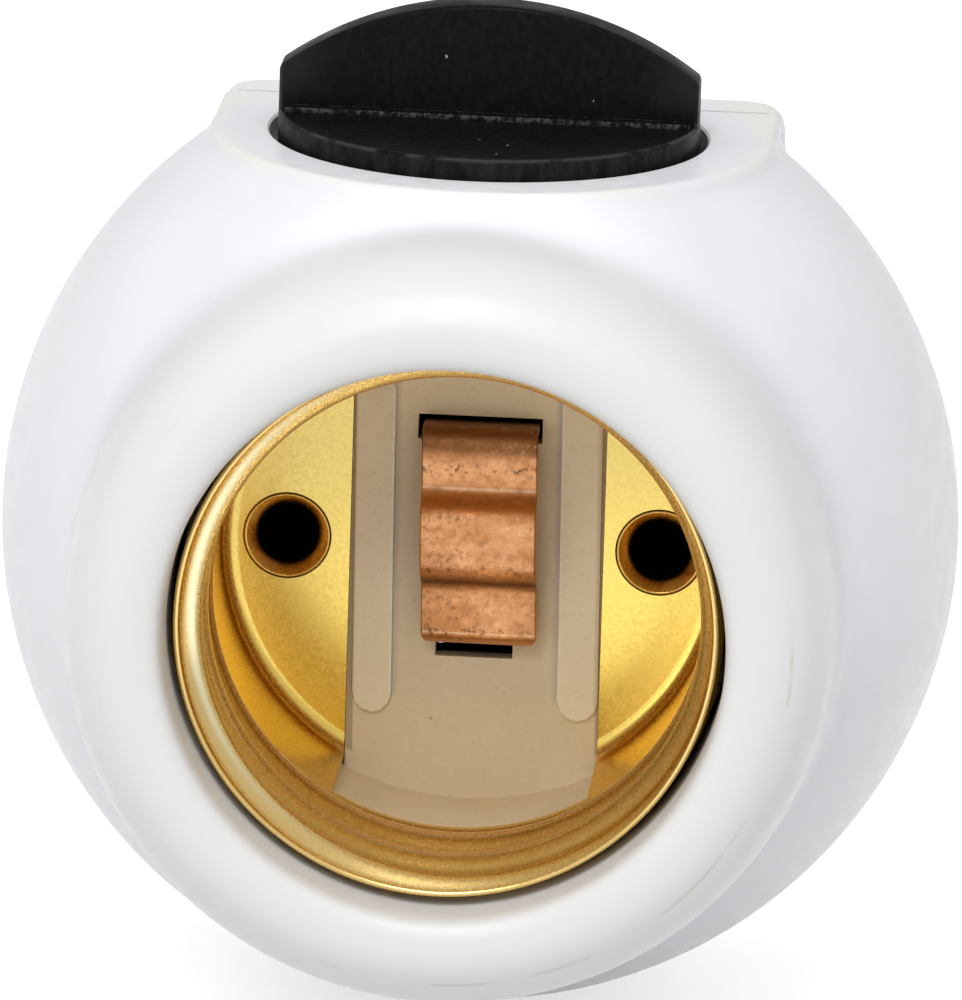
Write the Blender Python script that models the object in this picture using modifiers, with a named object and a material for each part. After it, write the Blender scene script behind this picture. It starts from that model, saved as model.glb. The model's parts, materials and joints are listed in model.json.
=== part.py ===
# Turn knob lamp socket: a ball shaped holder for a screw lamp, fixed to a wall or ceiling by its flat
# back, with a rotary switch worked by a black wing knob on top.
#
# Frame, in metres: +X to the right seen from the lamp's side, +Z up along the knob's axis, and the
# lamp screws in towards +Y. The origin is the centre of the flat back face, and depths are measured
# from there towards the lamp, so a depth of 20 mm lies at Y = -0.020.

import math

import bmesh
import bpy
from mathutils import Matrix, Vector

MM = 0.001

# The ball and its collar
BALL_RADIUS = 25.35 * MM
BALL_DEPTH = 12.2 * MM
SHELL_WALL = 3.0 * MM
BACK_EDGE_ROUND = 1.2 * MM
COLLAR_FRONT = 39.4 * MM
COLLAR_OUTER_WIDTH = 3.7 * MM
COLLAR_INNER_WIDTH = 1.85 * MM
COLLAR_EDGE_DROP = 4.4 * MM
COLLAR_INNER_DROP = 1.6 * MM
NECK_FILLET = 5.0 * MM
MOUTH_CLEARANCE = 1.07 * MM

# The seam between the front shell and the back cover, and the cover's spigot
SEAM_DEPTH = 5.0 * MM
COVER_FLOOR = 2.4 * MM
SPIGOT_WALL = 1.3 * MM
SPIGOT_FRONT = 7.0 * MM
FIT_GAP = 0.3 * MM

# The boss that carries the knob, built up from the switch's ceiling
BOSS_RING = 3.85 * MM
BOSS_DRAFT = 0.5 * MM
BOSS_ROOF = 1.4 * MM
BOSS_HEIGHT = 7.5 * MM
BOSS_EDGE_ROUND = 0.8 * MM
BOSS_BACK_ROUND = 2.3 * MM
BOSS_CORNER = 2.6 * MM
CAP_SINK = 0.15 * MM

# The knob, its well in the boss, and the axis of the switch
AXIS_X = -0.15 * MM
AXIS_SETBACK = 2.1 * MM
KNOB_RADIUS = 11.1 * MM
KNOB_STAND = 1.05 * MM
KNOB_EDGE_ROUND = 0.35 * MM
WELL_CLEARANCE = 0.45 * MM
WELL_DEPTH = 1.55 * MM
FIN_HEIGHT = 6.0 * MM
FIN_CROWN = 3.7 * MM
FIN_INSET = 0.15 * MM
FIN_THICKNESS = 2.4 * MM
FIN_CORNER = 0.8 * MM
FIN_EDGE_ROUND = 0.25 * MM
FIN_FOOT_WIDTH = 4.0 * MM
FIN_FOOT_HEIGHT = 0.3 * MM
HUB_RADIUS = 2.3 * MM
HUB_DROP = 1.3 * MM

# The insulating core, a cup with a raised bar across its floor
CENTRE_X = 0.2 * MM
CORE_CLEARANCE = 0.52 * MM
CORE_WALL = 2.0 * MM
CORE_FRONT = 27.0 * MM
CORE_BACK = 14.6 * MM
CORE_BASE = 2.0 * MM
BAR_HEIGHT = 0.7 * MM
BAR_SHARE = 0.4783
RIB_WIDTH = 2.2 * MM
RIB_HALF_LENGTH = 9.3 * MM
RIB_HEIGHT = 0.35 * MM
RIB_INSET = 0.15 * MM
EAR_SHARE = 0.47
EAR_RADIUS = 2.4 * MM
EAR_SETBACK = 0.2 * MM

# The brass screw shell, with the thread of a medium screw lamp cap, and its eyelets. The core, the
# mouth and the collar are all built round its skirt.
SHEET = 0.35 * MM
FLAP_HEIGHT = 0.65 * MM
FLAP_REACH = 5.5 * MM
FOLD_RADIUS = 1.0 * MM
SKIRT_RADIUS = 13.38 * MM
THREAD_PITCH = 3.63 * MM
THREAD_HEIGHT = 0.55 * MM
THREAD_START = 25.6 * MM
THREAD_END = 34.7 * MM
RIM_FRONT = 36.1 * MM
RIM_FLARE = 0.5 * MM
WINDOW_FRONT = 25.3 * MM
EYELET_SHARE = 0.7347
EYELET_HOLE = 1.55 * MM
EYELET_WALL = 0.3 * MM
EYELET_DISH = 2.4 * MM
EYELET_DISH_HEIGHT = 0.5 * MM

# The centre contact, a stepped strip through two slots in the bar
CONTACT_WIDTH = 5.95 * MM
CONTACT_SHEET = 0.4 * MM
CONTACT_HEIGHT = 2.0 * MM
CONTACT_RISE = 1.1 * MM
CONTACT_TOP = 6.1 * MM
CONTACT_FOOT = -4.8 * MM
TAB_WIDTH = 3.5 * MM
SLOT_HEADROOM = 0.65 * MM
SLOT_LEGROOM = 1.35 * MM

# The switch behind the core
SPINDLE_RADIUS = 1.2 * MM
SPINDLE_SINK = 1.5 * MM
SPINDLE_BOTTOM = 6.9 * MM
CLIP_THICKNESS = 0.3 * MM
CLIP_RADIUS = 1.8 * MM
WHEEL_RADIUS = 4.3 * MM
WHEEL_LOBE = 0.25 * MM
WHEEL_LOBES = 4
WHEEL_THICKNESS = 1.6 * MM
WHEEL_HEADROOM = 0.4 * MM
BRACKET_HALF_WIDTH = 6.0 * MM
BRACKET_TONGUE = 2.7 * MM
BRACKET_BOTTOM = 7.9 * MM
BRACKET_PLATE = 1.1 * MM
BRACKET_FLANGE = 0.9 * MM
SPRING_SHEET = 0.3 * MM
SPRING_HALF_LENGTH = 5.5 * MM
ROTOR_RADIUS = 2.3 * MM
BRIDGE_SHEET = 0.25 * MM
BRIDGE_WIDTH = 1.6 * MM
BRIDGE_SHARE = 0.73
BLADE_SHEET = 0.4 * MM
BLADE_REACH = 1.8 * MM
BLADE_DROP = 2.0 * MM

# Terminals, screws and the openings for wires
TERMINAL_X = 7.0 * MM
TERMINAL_Z = -10.0 * MM
TERMINAL_WIDTH = 5.4 * MM
TERMINAL_HEIGHT = 5.6 * MM
TERMINAL_BACK = 7.3 * MM
WIRE_BORE = 1.1 * MM
STRAP_SHEET = 0.3 * MM
SCREW_RADIUS = 1.2 * MM
SCREW_HEAD_RADIUS = 1.9 * MM
SCREW_HEAD_HEIGHT = 1.3 * MM
SMALL_SCREW_RADIUS = 1.0 * MM
SMALL_HEAD_RADIUS = 1.8 * MM
POST_RADIUS = 2.7 * MM
MOUNTING_HOLE = 2.2 * MM
WIRE_ENTRY_RADIUS = 4.0 * MM
WIRE_ENTRY_Z = -10.0 * MM

# Facets
BALL_SEGMENTS = 52
TUBE_SEGMENTS = 48
SHELL_SEGMENTS = 40
SMALL_SEGMENTS = 16
THREAD_STEPS = 6
MERGE = 0.00001
SLIVER = 0.00002

# Sizes that follow from the screw shell, outwards to the collar
RIM_RADIUS = SKIRT_RADIUS + RIM_FLARE
CORE_BORE = SKIRT_RADIUS + CORE_CLEARANCE
CORE_RADIUS = CORE_BORE + CORE_WALL
CORE_SEAT = CORE_RADIUS + FIT_GAP
MOUTH_RADIUS = SKIRT_RADIUS + MOUTH_CLEARANCE
COLLAR_CREST_RADIUS = MOUTH_RADIUS + COLLAR_INNER_WIDTH
COLLAR_RADIUS = COLLAR_CREST_RADIUS + COLLAR_OUTER_WIDTH
EYELET_X = EYELET_SHARE * SKIRT_RADIUS
BAR_HALF_WIDTH = BAR_SHARE * SKIRT_RADIUS

# Depths that follow from the core's back
BEHIND_CORE = CORE_BACK - FIT_GAP
CORE_FLOOR = CORE_BACK + CORE_BASE
BAR_FACE = CORE_FLOOR + BAR_HEIGHT
FLAP_FACE = CORE_FLOOR + FLAP_HEIGHT
CONTACT_FACE = BAR_FACE + CONTACT_HEIGHT
AXIS_DEPTH = CORE_BACK - AXIS_SETBACK

# Heights that follow from the core, upwards to the fin's crown
WHEEL_BOTTOM = CORE_RADIUS + FIT_GAP
WHEEL_TOP = WHEEL_BOTTOM + WHEEL_THICKNESS
BRACKET_TOP = WHEEL_BOTTOM - 2 * FIT_GAP
BLADE_TOP = BRACKET_TOP - BLADE_DROP
BOSS_CEILING = WHEEL_TOP + WHEEL_HEADROOM
WELL_FLOOR = BOSS_CEILING + BOSS_ROOF
HUB_BOTTOM = WELL_FLOOR - HUB_DROP
BOSS_TOP = WELL_FLOOR + WELL_DEPTH
BOSS_FOOT = BOSS_TOP - BOSS_HEIGHT
KNOB_TOP = BOSS_TOP + KNOB_STAND
SPINDLE_TOP = KNOB_TOP - SPINDLE_SINK
FIN_TOP = KNOB_TOP + FIN_HEIGHT
FIN_SHOULDER = FIN_TOP - FIN_CROWN

# Widths that follow from the knob
WELL_RADIUS = KNOB_RADIUS + WELL_CLEARANCE
BOSS_RADIUS = WELL_RADIUS + BOSS_RING
FIN_HALF_LENGTH = KNOB_RADIUS - FIN_INSET

# Sizes that follow from the ball and from the places of the switch and the core
INNER_RADIUS = BALL_RADIUS - SHELL_WALL
SPIGOT_RADIUS = INNER_RADIUS - FIT_GAP
COVER_CAVITY = SPIGOT_RADIUS - SPIGOT_WALL
COVER_SCREW_X = SPIGOT_RADIUS - SPIGOT_WALL / 2 - POST_RADIUS
EAR_REACH = CORE_RADIUS + EAR_SHARE * (INNER_RADIUS - CORE_RADIUS)
EAR_OFFSET = EAR_REACH / math.sqrt(2)
TERMINAL_FRONT = BEHIND_CORE - STRAP_SHEET - FIT_GAP
SPRING_FACE = AXIS_DEPTH - WHEEL_RADIUS - FIT_GAP
SPRING_SEAT = SPRING_FACE - SPRING_SHEET - FIT_GAP
BRACKET_BACK = SPRING_SEAT - BRACKET_FLANGE
BEARING_RADIUS = SPINDLE_RADIUS + FIT_GAP
BRIDGE_REACH = ROTOR_RADIUS + FIT_GAP + BRIDGE_SHEET
BLADE_X = math.hypot(BRIDGE_REACH, BRIDGE_WIDTH / 2) + FIT_GAP
BLADE_BACK = AXIS_DEPTH - BLADE_REACH
TAIL_DEPTH = BEHIND_CORE - CONTACT_SHEET
FAR = BALL_RADIUS + COLLAR_FRONT

# Local axes for pieces drawn as seen from the lamp and from the side
FACING_LAMP = Matrix(((1, 0, 0, 0), (0, 0, -1, 0), (0, 1, 0, 0), (0, 0, 0, 1)))
FACING_SIDE = Matrix(((0, 0, -1, 0), (-1, 0, 0, 0), (0, 1, 0, 0), (0, 0, 0, 1)))
UPRIGHT = Matrix.Identity(4)


def start_scene():
    for old in list(bpy.data.objects):
        bpy.data.objects.remove(old, do_unlink=True)
    parts = bpy.data.collections.new("turn_knob_lamp_socket")
    cutters = bpy.data.collections.new("cutters")
    for collection in (parts, cutters):
        bpy.context.scene.collection.children.link(collection)
    return parts, cutters


PARTS, CUTTERS = start_scene()


def make_material(name, colour, roughness, metallic=0.0):
    material = bpy.data.materials.new(name)
    material.use_nodes = True
    shader = material.node_tree.nodes["Principled BSDF"]
    shader.inputs["Base Color"].default_value = (*colour, 1.0)
    shader.inputs["Roughness"].default_value = roughness
    shader.inputs["Metallic"].default_value = metallic
    return material


WHITE = make_material("white_plastic", (0.80, 0.81, 0.84), 0.35)
BLACK = make_material("black_plastic", (0.012, 0.012, 0.013), 0.3)
BEIGE = make_material("beige_plastic", (0.47, 0.40, 0.27), 0.5)
BRASS = make_material("brass", (0.86, 0.62, 0.22), 0.25, 1.0)
COPPER = make_material("copper", (0.86, 0.45, 0.22), 0.35, 1.0)
STEEL = make_material("steel", (0.55, 0.55, 0.57), 0.35, 1.0)


def along_lamp(x=0.0, z=0.0):
    """A frame at x and z whose own z is the depth in front of the wall."""
    return Matrix.Translation((x, 0, z)) @ FACING_LAMP


def seen_from_side(x=0.0):
    """A frame whose own x and y are the depth and the height."""
    return Matrix.Translation((x, 0, 0)) @ FACING_SIDE


SWITCH_AXIS = Matrix.Translation((AXIS_X, -AXIS_DEPTH, 0))


def add_object(name, mesh, matrix, material=None):
    """Put a mesh in the scene as a part, or as a cutter where it has no material."""
    obj = bpy.data.objects.new(name, mesh)
    obj.matrix_world = matrix
    if material is None:
        CUTTERS.objects.link(obj)
        obj.hide_render = True
        obj.display_type = "WIRE"
    else:
        PARTS.objects.link(obj)
        mesh.materials.append(material)
    return obj


def arc(centre, radius, start, end, count):
    """Points on an arc from start to end, in degrees."""
    points = []
    for step in range(count + 1):
        angle = math.radians(start + (end - start) * step / count)
        points.append((centre[0] + radius * math.cos(angle), centre[1] + radius * math.sin(angle)))
    return points


def turned(name, profile, matrix, material=None, segments=TUBE_SEGMENTS, closed=False):
    """Turn a profile of (radius, height) points, which runs down its outer side."""
    mesh = bpy.data.meshes.new(name)
    points = [(radius, 0.0, height) for radius, height in profile]
    edges = [(i, i + 1) for i in range(len(points) - 1)]
    if closed:
        edges.append((len(points) - 1, 0))
    mesh.from_pydata(points, edges, [])
    obj = add_object(name, mesh, matrix, material)
    screw = obj.modifiers.new("turn", "SCREW")
    screw.axis = "Z"
    screw.angle = math.tau
    screw.steps = segments
    screw.render_steps = segments
    screw.use_merge_vertices = True
    screw.merge_threshold = MERGE
    screw.use_smooth_shade = False
    return obj


def rod(name, radius, low, high, matrix, material=None, segments=SMALL_SEGMENTS):
    """A solid cylinder between two heights on its own axis."""
    profile = [(0.0, high), (radius, high), (radius, low), (0.0, low)]
    return turned(name, profile, matrix, material, segments)


def plate(name, outline, low, high, matrix, material=None):
    """A flat outline given thickness along its own z, from low to high."""
    curve = bpy.data.curves.new(name, "CURVE")
    curve.dimensions = "2D"
    curve.fill_mode = "BOTH"
    curve.extrude = (high - low) / 2
    spline = curve.splines.new("POLY")
    spline.points.add(len(outline) - 1)
    for point, (a, b) in zip(spline.points, outline):
        point.co = (a, b, 0.0, 1.0)
    spline.use_cyclic_u = True
    drawn = bpy.data.objects.new(name, curve)
    CUTTERS.objects.link(drawn)
    bpy.context.view_layer.update()
    depsgraph = bpy.context.evaluated_depsgraph_get()
    mesh = bpy.data.meshes.new_from_object(drawn.evaluated_get(depsgraph))
    bpy.data.objects.remove(drawn, do_unlink=True)
    form = bmesh.new()
    form.from_mesh(mesh)
    bmesh.ops.remove_doubles(form, verts=form.verts, dist=MERGE)
    bmesh.ops.translate(form, verts=form.verts, vec=(0, 0, (low + high) / 2))
    bmesh.ops.recalc_face_normals(form, faces=form.faces)
    form.to_mesh(mesh)
    form.free()
    mesh.name = name
    return add_object(name, mesh, matrix, material)


def box(name, low, high, material=None):
    """A box between two corners given as (x, depth, z)."""
    size = [high[i] - low[i] for i in range(3)]
    centre = [(high[i] + low[i]) / 2 for i in range(3)]
    form = bmesh.new()
    bmesh.ops.create_cube(form, size=1.0)
    bmesh.ops.scale(form, verts=form.verts, vec=size)
    mesh = bpy.data.meshes.new(name)
    form.to_mesh(mesh)
    form.free()
    place = Matrix.Translation((centre[0], -centre[1], centre[2]))
    return add_object(name, mesh, place, material)


def boolean(obj, others, operation):
    for other in others:
        modifier = obj.modifiers.new(other.name, "BOOLEAN")
        modifier.operation = operation
        modifier.solver = "EXACT"
        modifier.object = other
    return obj


def cut(obj, *cutters):
    return boolean(obj, cutters, "DIFFERENCE")


def join(obj, *adders):
    return boolean(obj, adders, "UNION")


def weld(obj):
    """Close up the slivers that a cut can leave, and leave only flat faces for the next one."""
    modifier = obj.modifiers.new("weld", "WELD")
    modifier.merge_threshold = SLIVER
    obj.modifiers.new("flat_faces", "TRIANGULATE")
    return obj


def round_edges(obj, width, segments=2):
    modifier = obj.modifiers.new("rounded_edges", "BEVEL")
    modifier.width = width
    modifier.segments = segments
    modifier.limit_method = "ANGLE"
    modifier.angle_limit = math.radians(50)
    return obj


def strip_outline(path, sheet):
    """The outline of a bent sheet whose middle follows a path of points."""
    sides = ([], [])
    for i, point in enumerate(path):
        here = Vector(point)
        before = (here - Vector(path[i - 1])).normalized() if i else None
        after = (Vector(path[i + 1]) - here).normalized() if i + 1 < len(path) else None
        before = before or after
        after = after or before
        across = Vector((-before.y - after.y, before.x + after.x)).normalized()
        reach = sheet / 2 / across.dot(Vector((-before.y, before.x)))
        sides[0].append(tuple(here + across * reach))
        sides[1].append(tuple(here - across * reach))
    return sides[0] + sides[1][::-1]


def rounded_bar(centre, half_width, half_length, count=6):
    """An upright bar with half round ends."""
    x, z = centre
    straight = half_length - half_width
    return (arc((x, z + straight), half_width, 0, 180, count)
            + arc((x, z - straight), half_width, 180, 360, count))


# The housing

def neck_fillet():
    """Where the collar's side runs into the ball: the fillet's points and its last angle."""
    reach = BALL_RADIUS + NECK_FILLET
    centre_radius = COLLAR_RADIUS + NECK_FILLET
    rise = math.sqrt(reach ** 2 - centre_radius ** 2)
    touch = math.degrees(math.atan2(rise, centre_radius))
    centre = (centre_radius, BALL_DEPTH + rise)
    return arc(centre, NECK_FILLET, 180, 180 + touch, 4), touch


def quarter(centre, radius, height, start, end, count):
    """Points on a quarter of an ellipse, by its angle from the radius axis."""
    points = []
    for step in range(count + 1):
        angle = math.radians(start + (end - start) * step / count)
        points.append((centre[0] + radius * math.cos(angle), centre[1] + height * math.sin(angle)))
    return points


def housing_profile():
    """The ball with its collar as (radius, depth), from the mouth back to the wall."""
    inner_half = COLLAR_CREST_RADIUS - MOUTH_RADIUS
    outer_half = COLLAR_RADIUS - COLLAR_CREST_RADIUS
    mouth_edge = COLLAR_FRONT - COLLAR_INNER_DROP
    neck, touch = neck_fillet()
    back_angle = math.degrees(math.asin((BACK_EDGE_ROUND - BALL_DEPTH) / BALL_RADIUS))
    ball = arc((0.0, BALL_DEPTH), BALL_RADIUS, touch, back_angle, 12)
    rim = ball[-1][0]
    return ([(0.0, mouth_edge)]
            + quarter((COLLAR_CREST_RADIUS, mouth_edge), inner_half, COLLAR_INNER_DROP, 180, 90, 3)
            + quarter((COLLAR_CREST_RADIUS, COLLAR_FRONT - COLLAR_EDGE_DROP), outer_half,
                      COLLAR_EDGE_DROP, 90, 0, 5)[1:]
            + neck + ball[1:]
            + [(rim - BACK_EDGE_ROUND / 2, BACK_EDGE_ROUND / 4), (rim - BACK_EDGE_ROUND * 1.4, 0.0),
               (0.0, 0.0)])


def boss_outline():
    """The boss from above: round in front, straight at the sides, rounded corners at the wall."""
    half = BOSS_RADIUS
    front = arc((0.0, -BALL_DEPTH), half, 0, -180, 24)
    left = arc((BOSS_CORNER - half, -BOSS_CORNER), BOSS_CORNER, 180, 90, 4)
    right = arc((half - BOSS_CORNER, -BOSS_CORNER), BOSS_CORNER, 90, 0, 4)
    return front + left + right


def boss_block():
    """The boss down into the ball, drafted, with a fine round on top and a large one at the wall."""
    block = plate("boss_block", boss_outline(), BOSS_FOOT, BOSS_TOP, UPRIGHT)
    mesh = block.data
    shrink = 1 - BOSS_DRAFT / BOSS_RADIUS
    middle = (BOSS_FOOT + BOSS_TOP) / 2
    for vertex in mesh.vertices:
        if vertex.co.z > middle:
            vertex.co.x *= shrink
            if vertex.co.y < -BALL_DEPTH:
                vertex.co.y = (vertex.co.y + BALL_DEPTH) * shrink - BALL_DEPTH
    fine = BOSS_EDGE_ROUND / BOSS_BACK_ROUND
    weights = mesh.attributes.new("bevel_weight_edge", "FLOAT", "EDGE")
    face_counts = {}
    for polygon in mesh.polygons:
        for key in polygon.edge_keys:
            face_counts.setdefault(key, []).append(abs(polygon.normal.z) > 0.5)
    for edge in mesh.edges:
        first, second = [mesh.vertices[i].co for i in edge.vertices]
        on_top = min(first.z, second.z) > middle
        on_rim = len(set(face_counts[tuple(sorted(edge.vertices))])) == 2
        if on_top and on_rim:
            depth = -(first.y + second.y) / 2
            share = max(0.0, 1 - depth / BOSS_CORNER)
            weights.data[edge.index].value = fine + (1 - fine) * share
    rounding = block.modifiers.new("top_round", "BEVEL")
    rounding.width = BOSS_BACK_ROUND
    rounding.segments = 3
    rounding.limit_method = "WEIGHT"
    rounding.use_clamp_overlap = False
    block.modifiers.new("flat_faces", "TRIANGULATE")
    return block


def ball_cap():
    """The cap of the ball that the boss takes the place of."""
    low = BOSS_TOP - BOSS_BACK_ROUND
    edge = arc((BOSS_BACK_ROUND, low), BOSS_BACK_ROUND - CAP_SINK, 180, 90, 5)
    outline = [(-FAR, low)] + edge + [(FAR, BOSS_TOP - CAP_SINK), (FAR, FAR), (-FAR, FAR)]
    return plate("ball_cap", outline, -BOSS_RADIUS, BOSS_RADIUS, seen_from_side())


def housing_solid(name, beyond_seam):
    """The outside of the housing on one side of the seam, with the knob's well, still solid."""
    solid = turned(name, housing_profile(), along_lamp(), WHITE, BALL_SEGMENTS)
    cut(solid, ball_cap())
    join(solid, boss_block())
    weld(solid)
    cut(solid, beyond_seam)
    well = rod("knob_well", WELL_RADIUS, WELL_FLOOR, FAR, SWITCH_AXIS, segments=TUBE_SEGMENTS)
    hole = rod("hub_hole", HUB_RADIUS + FIT_GAP, BOSS_FOOT, FAR, SWITCH_AXIS)
    return weld(cut(solid, well, hole))


def hollow(name, profile):
    """A turned cutter that leaves room for the switch and stays below the boss's ceiling."""
    cutter = turned(name, profile, along_lamp(), segments=BALL_SEGMENTS)
    half = BRACKET_HALF_WIDTH + FIT_GAP
    join(cutter, box(name + "_switch_room", (AXIS_X - half, BRACKET_BACK - FIT_GAP, 0.0),
                     (AXIS_X + half, AXIS_DEPTH + WHEEL_RADIUS + FIT_GAP, FAR)))
    return cut(cutter, box(name + "_limit", (-FAR, -FAR, BOSS_CEILING), (FAR, FAR, FAR)))


def make_front_shell():
    behind_seam = box("behind_seam", (-FAR, -FAR, -FAR), (FAR, SEAM_DEPTH + FIT_GAP / 2, FAR))
    shell = housing_solid("front_shell", behind_seam)
    meet = math.degrees(math.acos(CORE_SEAT / INNER_RADIUS))
    dome = arc((0.0, BALL_DEPTH), INNER_RADIUS, meet, 0, 6)
    inside = hollow("front_cavity", [
        (0.0, FAR), (MOUTH_RADIUS, FAR), (MOUTH_RADIUS, CORE_FRONT + FIT_GAP),
        (CORE_SEAT, CORE_FRONT + FIT_GAP)] + dome + [(INNER_RADIUS, -FAR), (0.0, -FAR)])
    weld(cut(shell, inside))
    post_back = SPIGOT_FRONT + FIT_GAP
    for side, x in (("left", -COVER_SCREW_X), ("right", COVER_SCREW_X)):
        post = rod("front_post_" + side, POST_RADIUS, post_back, BEHIND_CORE, along_lamp(x))
        wall_x = math.copysign(INNER_RADIUS + SHELL_WALL / 3, x)
        web = box("front_web_" + side, (min(x, wall_x), post_back + FIT_GAP, -POST_RADIUS / 2),
                  (max(x, wall_x), BEHIND_CORE - FIT_GAP, POST_RADIUS / 2))
        pilot = rod("front_pilot_" + side, SCREW_RADIUS + FIT_GAP, 0.0, BEHIND_CORE - SHELL_WALL / 2,
                    along_lamp(x))
        weld(join(shell, weld(cut(join(post, web), pilot))))
    core_post_back = CORE_FLOOR - EAR_SETBACK + FIT_GAP
    core_post_front = BALL_DEPTH + math.sqrt(INNER_RADIUS ** 2 - EAR_REACH ** 2) + EAR_RADIUS / 2
    posts = []
    for side, x in (("left", -EAR_OFFSET), ("right", EAR_OFFSET)):
        place = along_lamp(x, -EAR_OFFSET)
        post = rod("core_post_" + side, EAR_RADIUS - FIT_GAP, core_post_back, core_post_front, place)
        pilot = rod("core_pilot_" + side, SMALL_SCREW_RADIUS + FIT_GAP, 0.0,
                    core_post_front - SHELL_WALL, place)
        seat = rod("core_seat_" + side, CORE_SEAT, 0.0, CORE_FRONT + FIT_GAP, along_lamp(),
                   segments=TUBE_SEGMENTS)
        posts.append(weld(cut(post, pilot, seat)))
    weld(join(shell, join(*posts)))


def make_back_cover():
    face = SEAM_DEPTH - FIT_GAP / 2
    before_seam = box("before_seam", (-FAR, face, -FAR), (FAR, FAR, FAR))
    cover = housing_solid("back_cover", before_seam)
    spigot = rod("spigot", SPIGOT_RADIUS, (COVER_FLOOR + face) / 2, SPIGOT_FRONT, along_lamp(),
                 segments=BALL_SEGMENTS)
    cut(spigot, box("spigot_notch", (-FAR, -FAR, BOSS_CEILING - FIT_GAP), (FAR, FAR, FAR)))
    inside = hollow("cover_cavity", [(0.0, FAR), (COVER_CAVITY, FAR), (COVER_CAVITY, COVER_FLOOR),
                                     (0.0, COVER_FLOOR)])
    join(cover, spigot)
    weld(cut(cover, inside))
    for side, x in (("left", -COVER_SCREW_X), ("right", COVER_SCREW_X)):
        post = rod("cover_post_" + side, POST_RADIUS, COVER_FLOOR / 2, SPIGOT_FRONT - CAP_SINK, along_lamp(x))
        head = SCREW_HEAD_RADIUS + FIT_GAP
        shank = SCREW_RADIUS + FIT_GAP
        step = SCREW_HEAD_HEIGHT + 2 * FIT_GAP
        stepped = turned("cover_hole_" + side, [(0.0, FAR), (shank, FAR), (shank, step), (head, step),
                                                (head, -FAR), (0.0, -FAR)],
                         along_lamp(x), segments=SMALL_SEGMENTS)
        mounting_x = math.copysign(EYELET_X, x)
        mounting = rod("mounting_hole_" + side, MOUNTING_HOLE, -FAR, FAR, along_lamp(mounting_x))
        weld(cut(join(cover, cut(post, mounting)), mounting))
        weld(cut(cover, stepped))
        rib_x = math.copysign(BRACKET_HALF_WIDTH * 0.6, x)
        half = SPIGOT_WALL / 2
        join(cover, box("bracket_rib_" + side, (rib_x - half, COVER_FLOOR / 2, BRACKET_BOTTOM + half),
                        (rib_x + half, BRACKET_BACK - FIT_GAP, BRACKET_TOP - half)))
    cut(cover, rod("wire_entry", WIRE_ENTRY_RADIUS, -FAR, COVER_FLOOR + FIT_GAP,
                   along_lamp(0.0, WIRE_ENTRY_Z)))


def screw(name, radius, head_radius, head_back, tip, x, z):
    """A pan head screw driven in from the wall's side, with a straight slot."""
    head_front = head_back + SCREW_HEAD_HEIGHT
    body = turned(name, [(0.0, tip), (radius * 0.6, tip), (radius, tip - radius * 0.6),
                         (radius, head_front), (head_radius, head_front),
                         (head_radius, head_back + SCREW_HEAD_HEIGHT * 0.4),
                         (head_radius * 0.7, head_back), (0.0, head_back)],
                  along_lamp(x, z), STEEL, SMALL_SEGMENTS)
    slot = box(name + "_slot", (x - radius / 4, head_back - FIT_GAP, z - head_radius - FIT_GAP),
               (x + radius / 4, head_back + SCREW_HEAD_HEIGHT * 0.45, z + head_radius + FIT_GAP))
    cut(body, slot)


def make_housing_screws():
    for side, x in (("left", -COVER_SCREW_X), ("right", COVER_SCREW_X)):
        tip = BEHIND_CORE - SHELL_WALL / 2 - 2 * FIT_GAP
        screw("cover_screw_" + side, SCREW_RADIUS, SCREW_HEAD_RADIUS, FIT_GAP, tip, x, 0.0)
    ear_back = CORE_BACK + EAR_SETBACK
    for side, x in (("left", -EAR_OFFSET), ("right", EAR_OFFSET)):
        screw("core_screw_" + side, SMALL_SCREW_RADIUS, SMALL_HEAD_RADIUS,
              ear_back - FIT_GAP - SCREW_HEAD_HEIGHT, CORE_FLOOR + EAR_RADIUS, x, -EAR_OFFSET)


# The knob

def make_knob():
    bottom = WELL_FLOOR + FIT_GAP
    bore_top = SPINDLE_TOP + FIT_GAP
    edge = quarter((KNOB_RADIUS - KNOB_EDGE_ROUND, KNOB_TOP - KNOB_EDGE_ROUND),
                   KNOB_EDGE_ROUND, KNOB_EDGE_ROUND, 90, 0, 2)
    knob = turned("knob", [(0.0, KNOB_TOP)] + edge + [
        (KNOB_RADIUS, bottom), (HUB_RADIUS, bottom), (HUB_RADIUS, HUB_BOTTOM),
        (BEARING_RADIUS, HUB_BOTTOM), (BEARING_RADIUS, bore_top), (0.0, bore_top)],
        SWITCH_AXIS, BLACK, TUBE_SEGMENTS)
    rise = FIN_TOP - FIN_SHOULDER
    arc_radius = (FIN_HALF_LENGTH ** 2 + rise ** 2) / (2 * rise)
    centre_z = FIN_TOP - arc_radius
    reach = math.degrees(math.asin((FIN_HALF_LENGTH - FIN_CORNER / 2) / arc_radius))
    crown = arc((0.0, centre_z), arc_radius, 90 - reach, 90 + reach, 14)
    foot = (bottom + KNOB_TOP) / 2
    shoulder = FIN_SHOULDER - FIN_CORNER
    outline = crown + [(-FIN_HALF_LENGTH, shoulder), (-FIN_HALF_LENGTH, foot),
                       (FIN_HALF_LENGTH, foot), (FIN_HALF_LENGTH, shoulder)]
    half = FIN_THICKNESS / 2
    fin = plate("fin", outline, -half, half, SWITCH_AXIS @ FACING_LAMP)
    round_edges(fin, FIN_EDGE_ROUND)
    step_half = FIN_FOOT_WIDTH / 2
    step_length = math.sqrt(KNOB_RADIUS ** 2 - step_half ** 2) - KNOB_EDGE_ROUND
    step = box("fin_foot", (AXIS_X - step_length, AXIS_DEPTH - step_half, foot),
               (AXIS_X + step_length, AXIS_DEPTH + step_half, KNOB_TOP + FIN_FOOT_HEIGHT))
    join(knob, fin, step)


# The insulating core and what it carries

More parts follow.
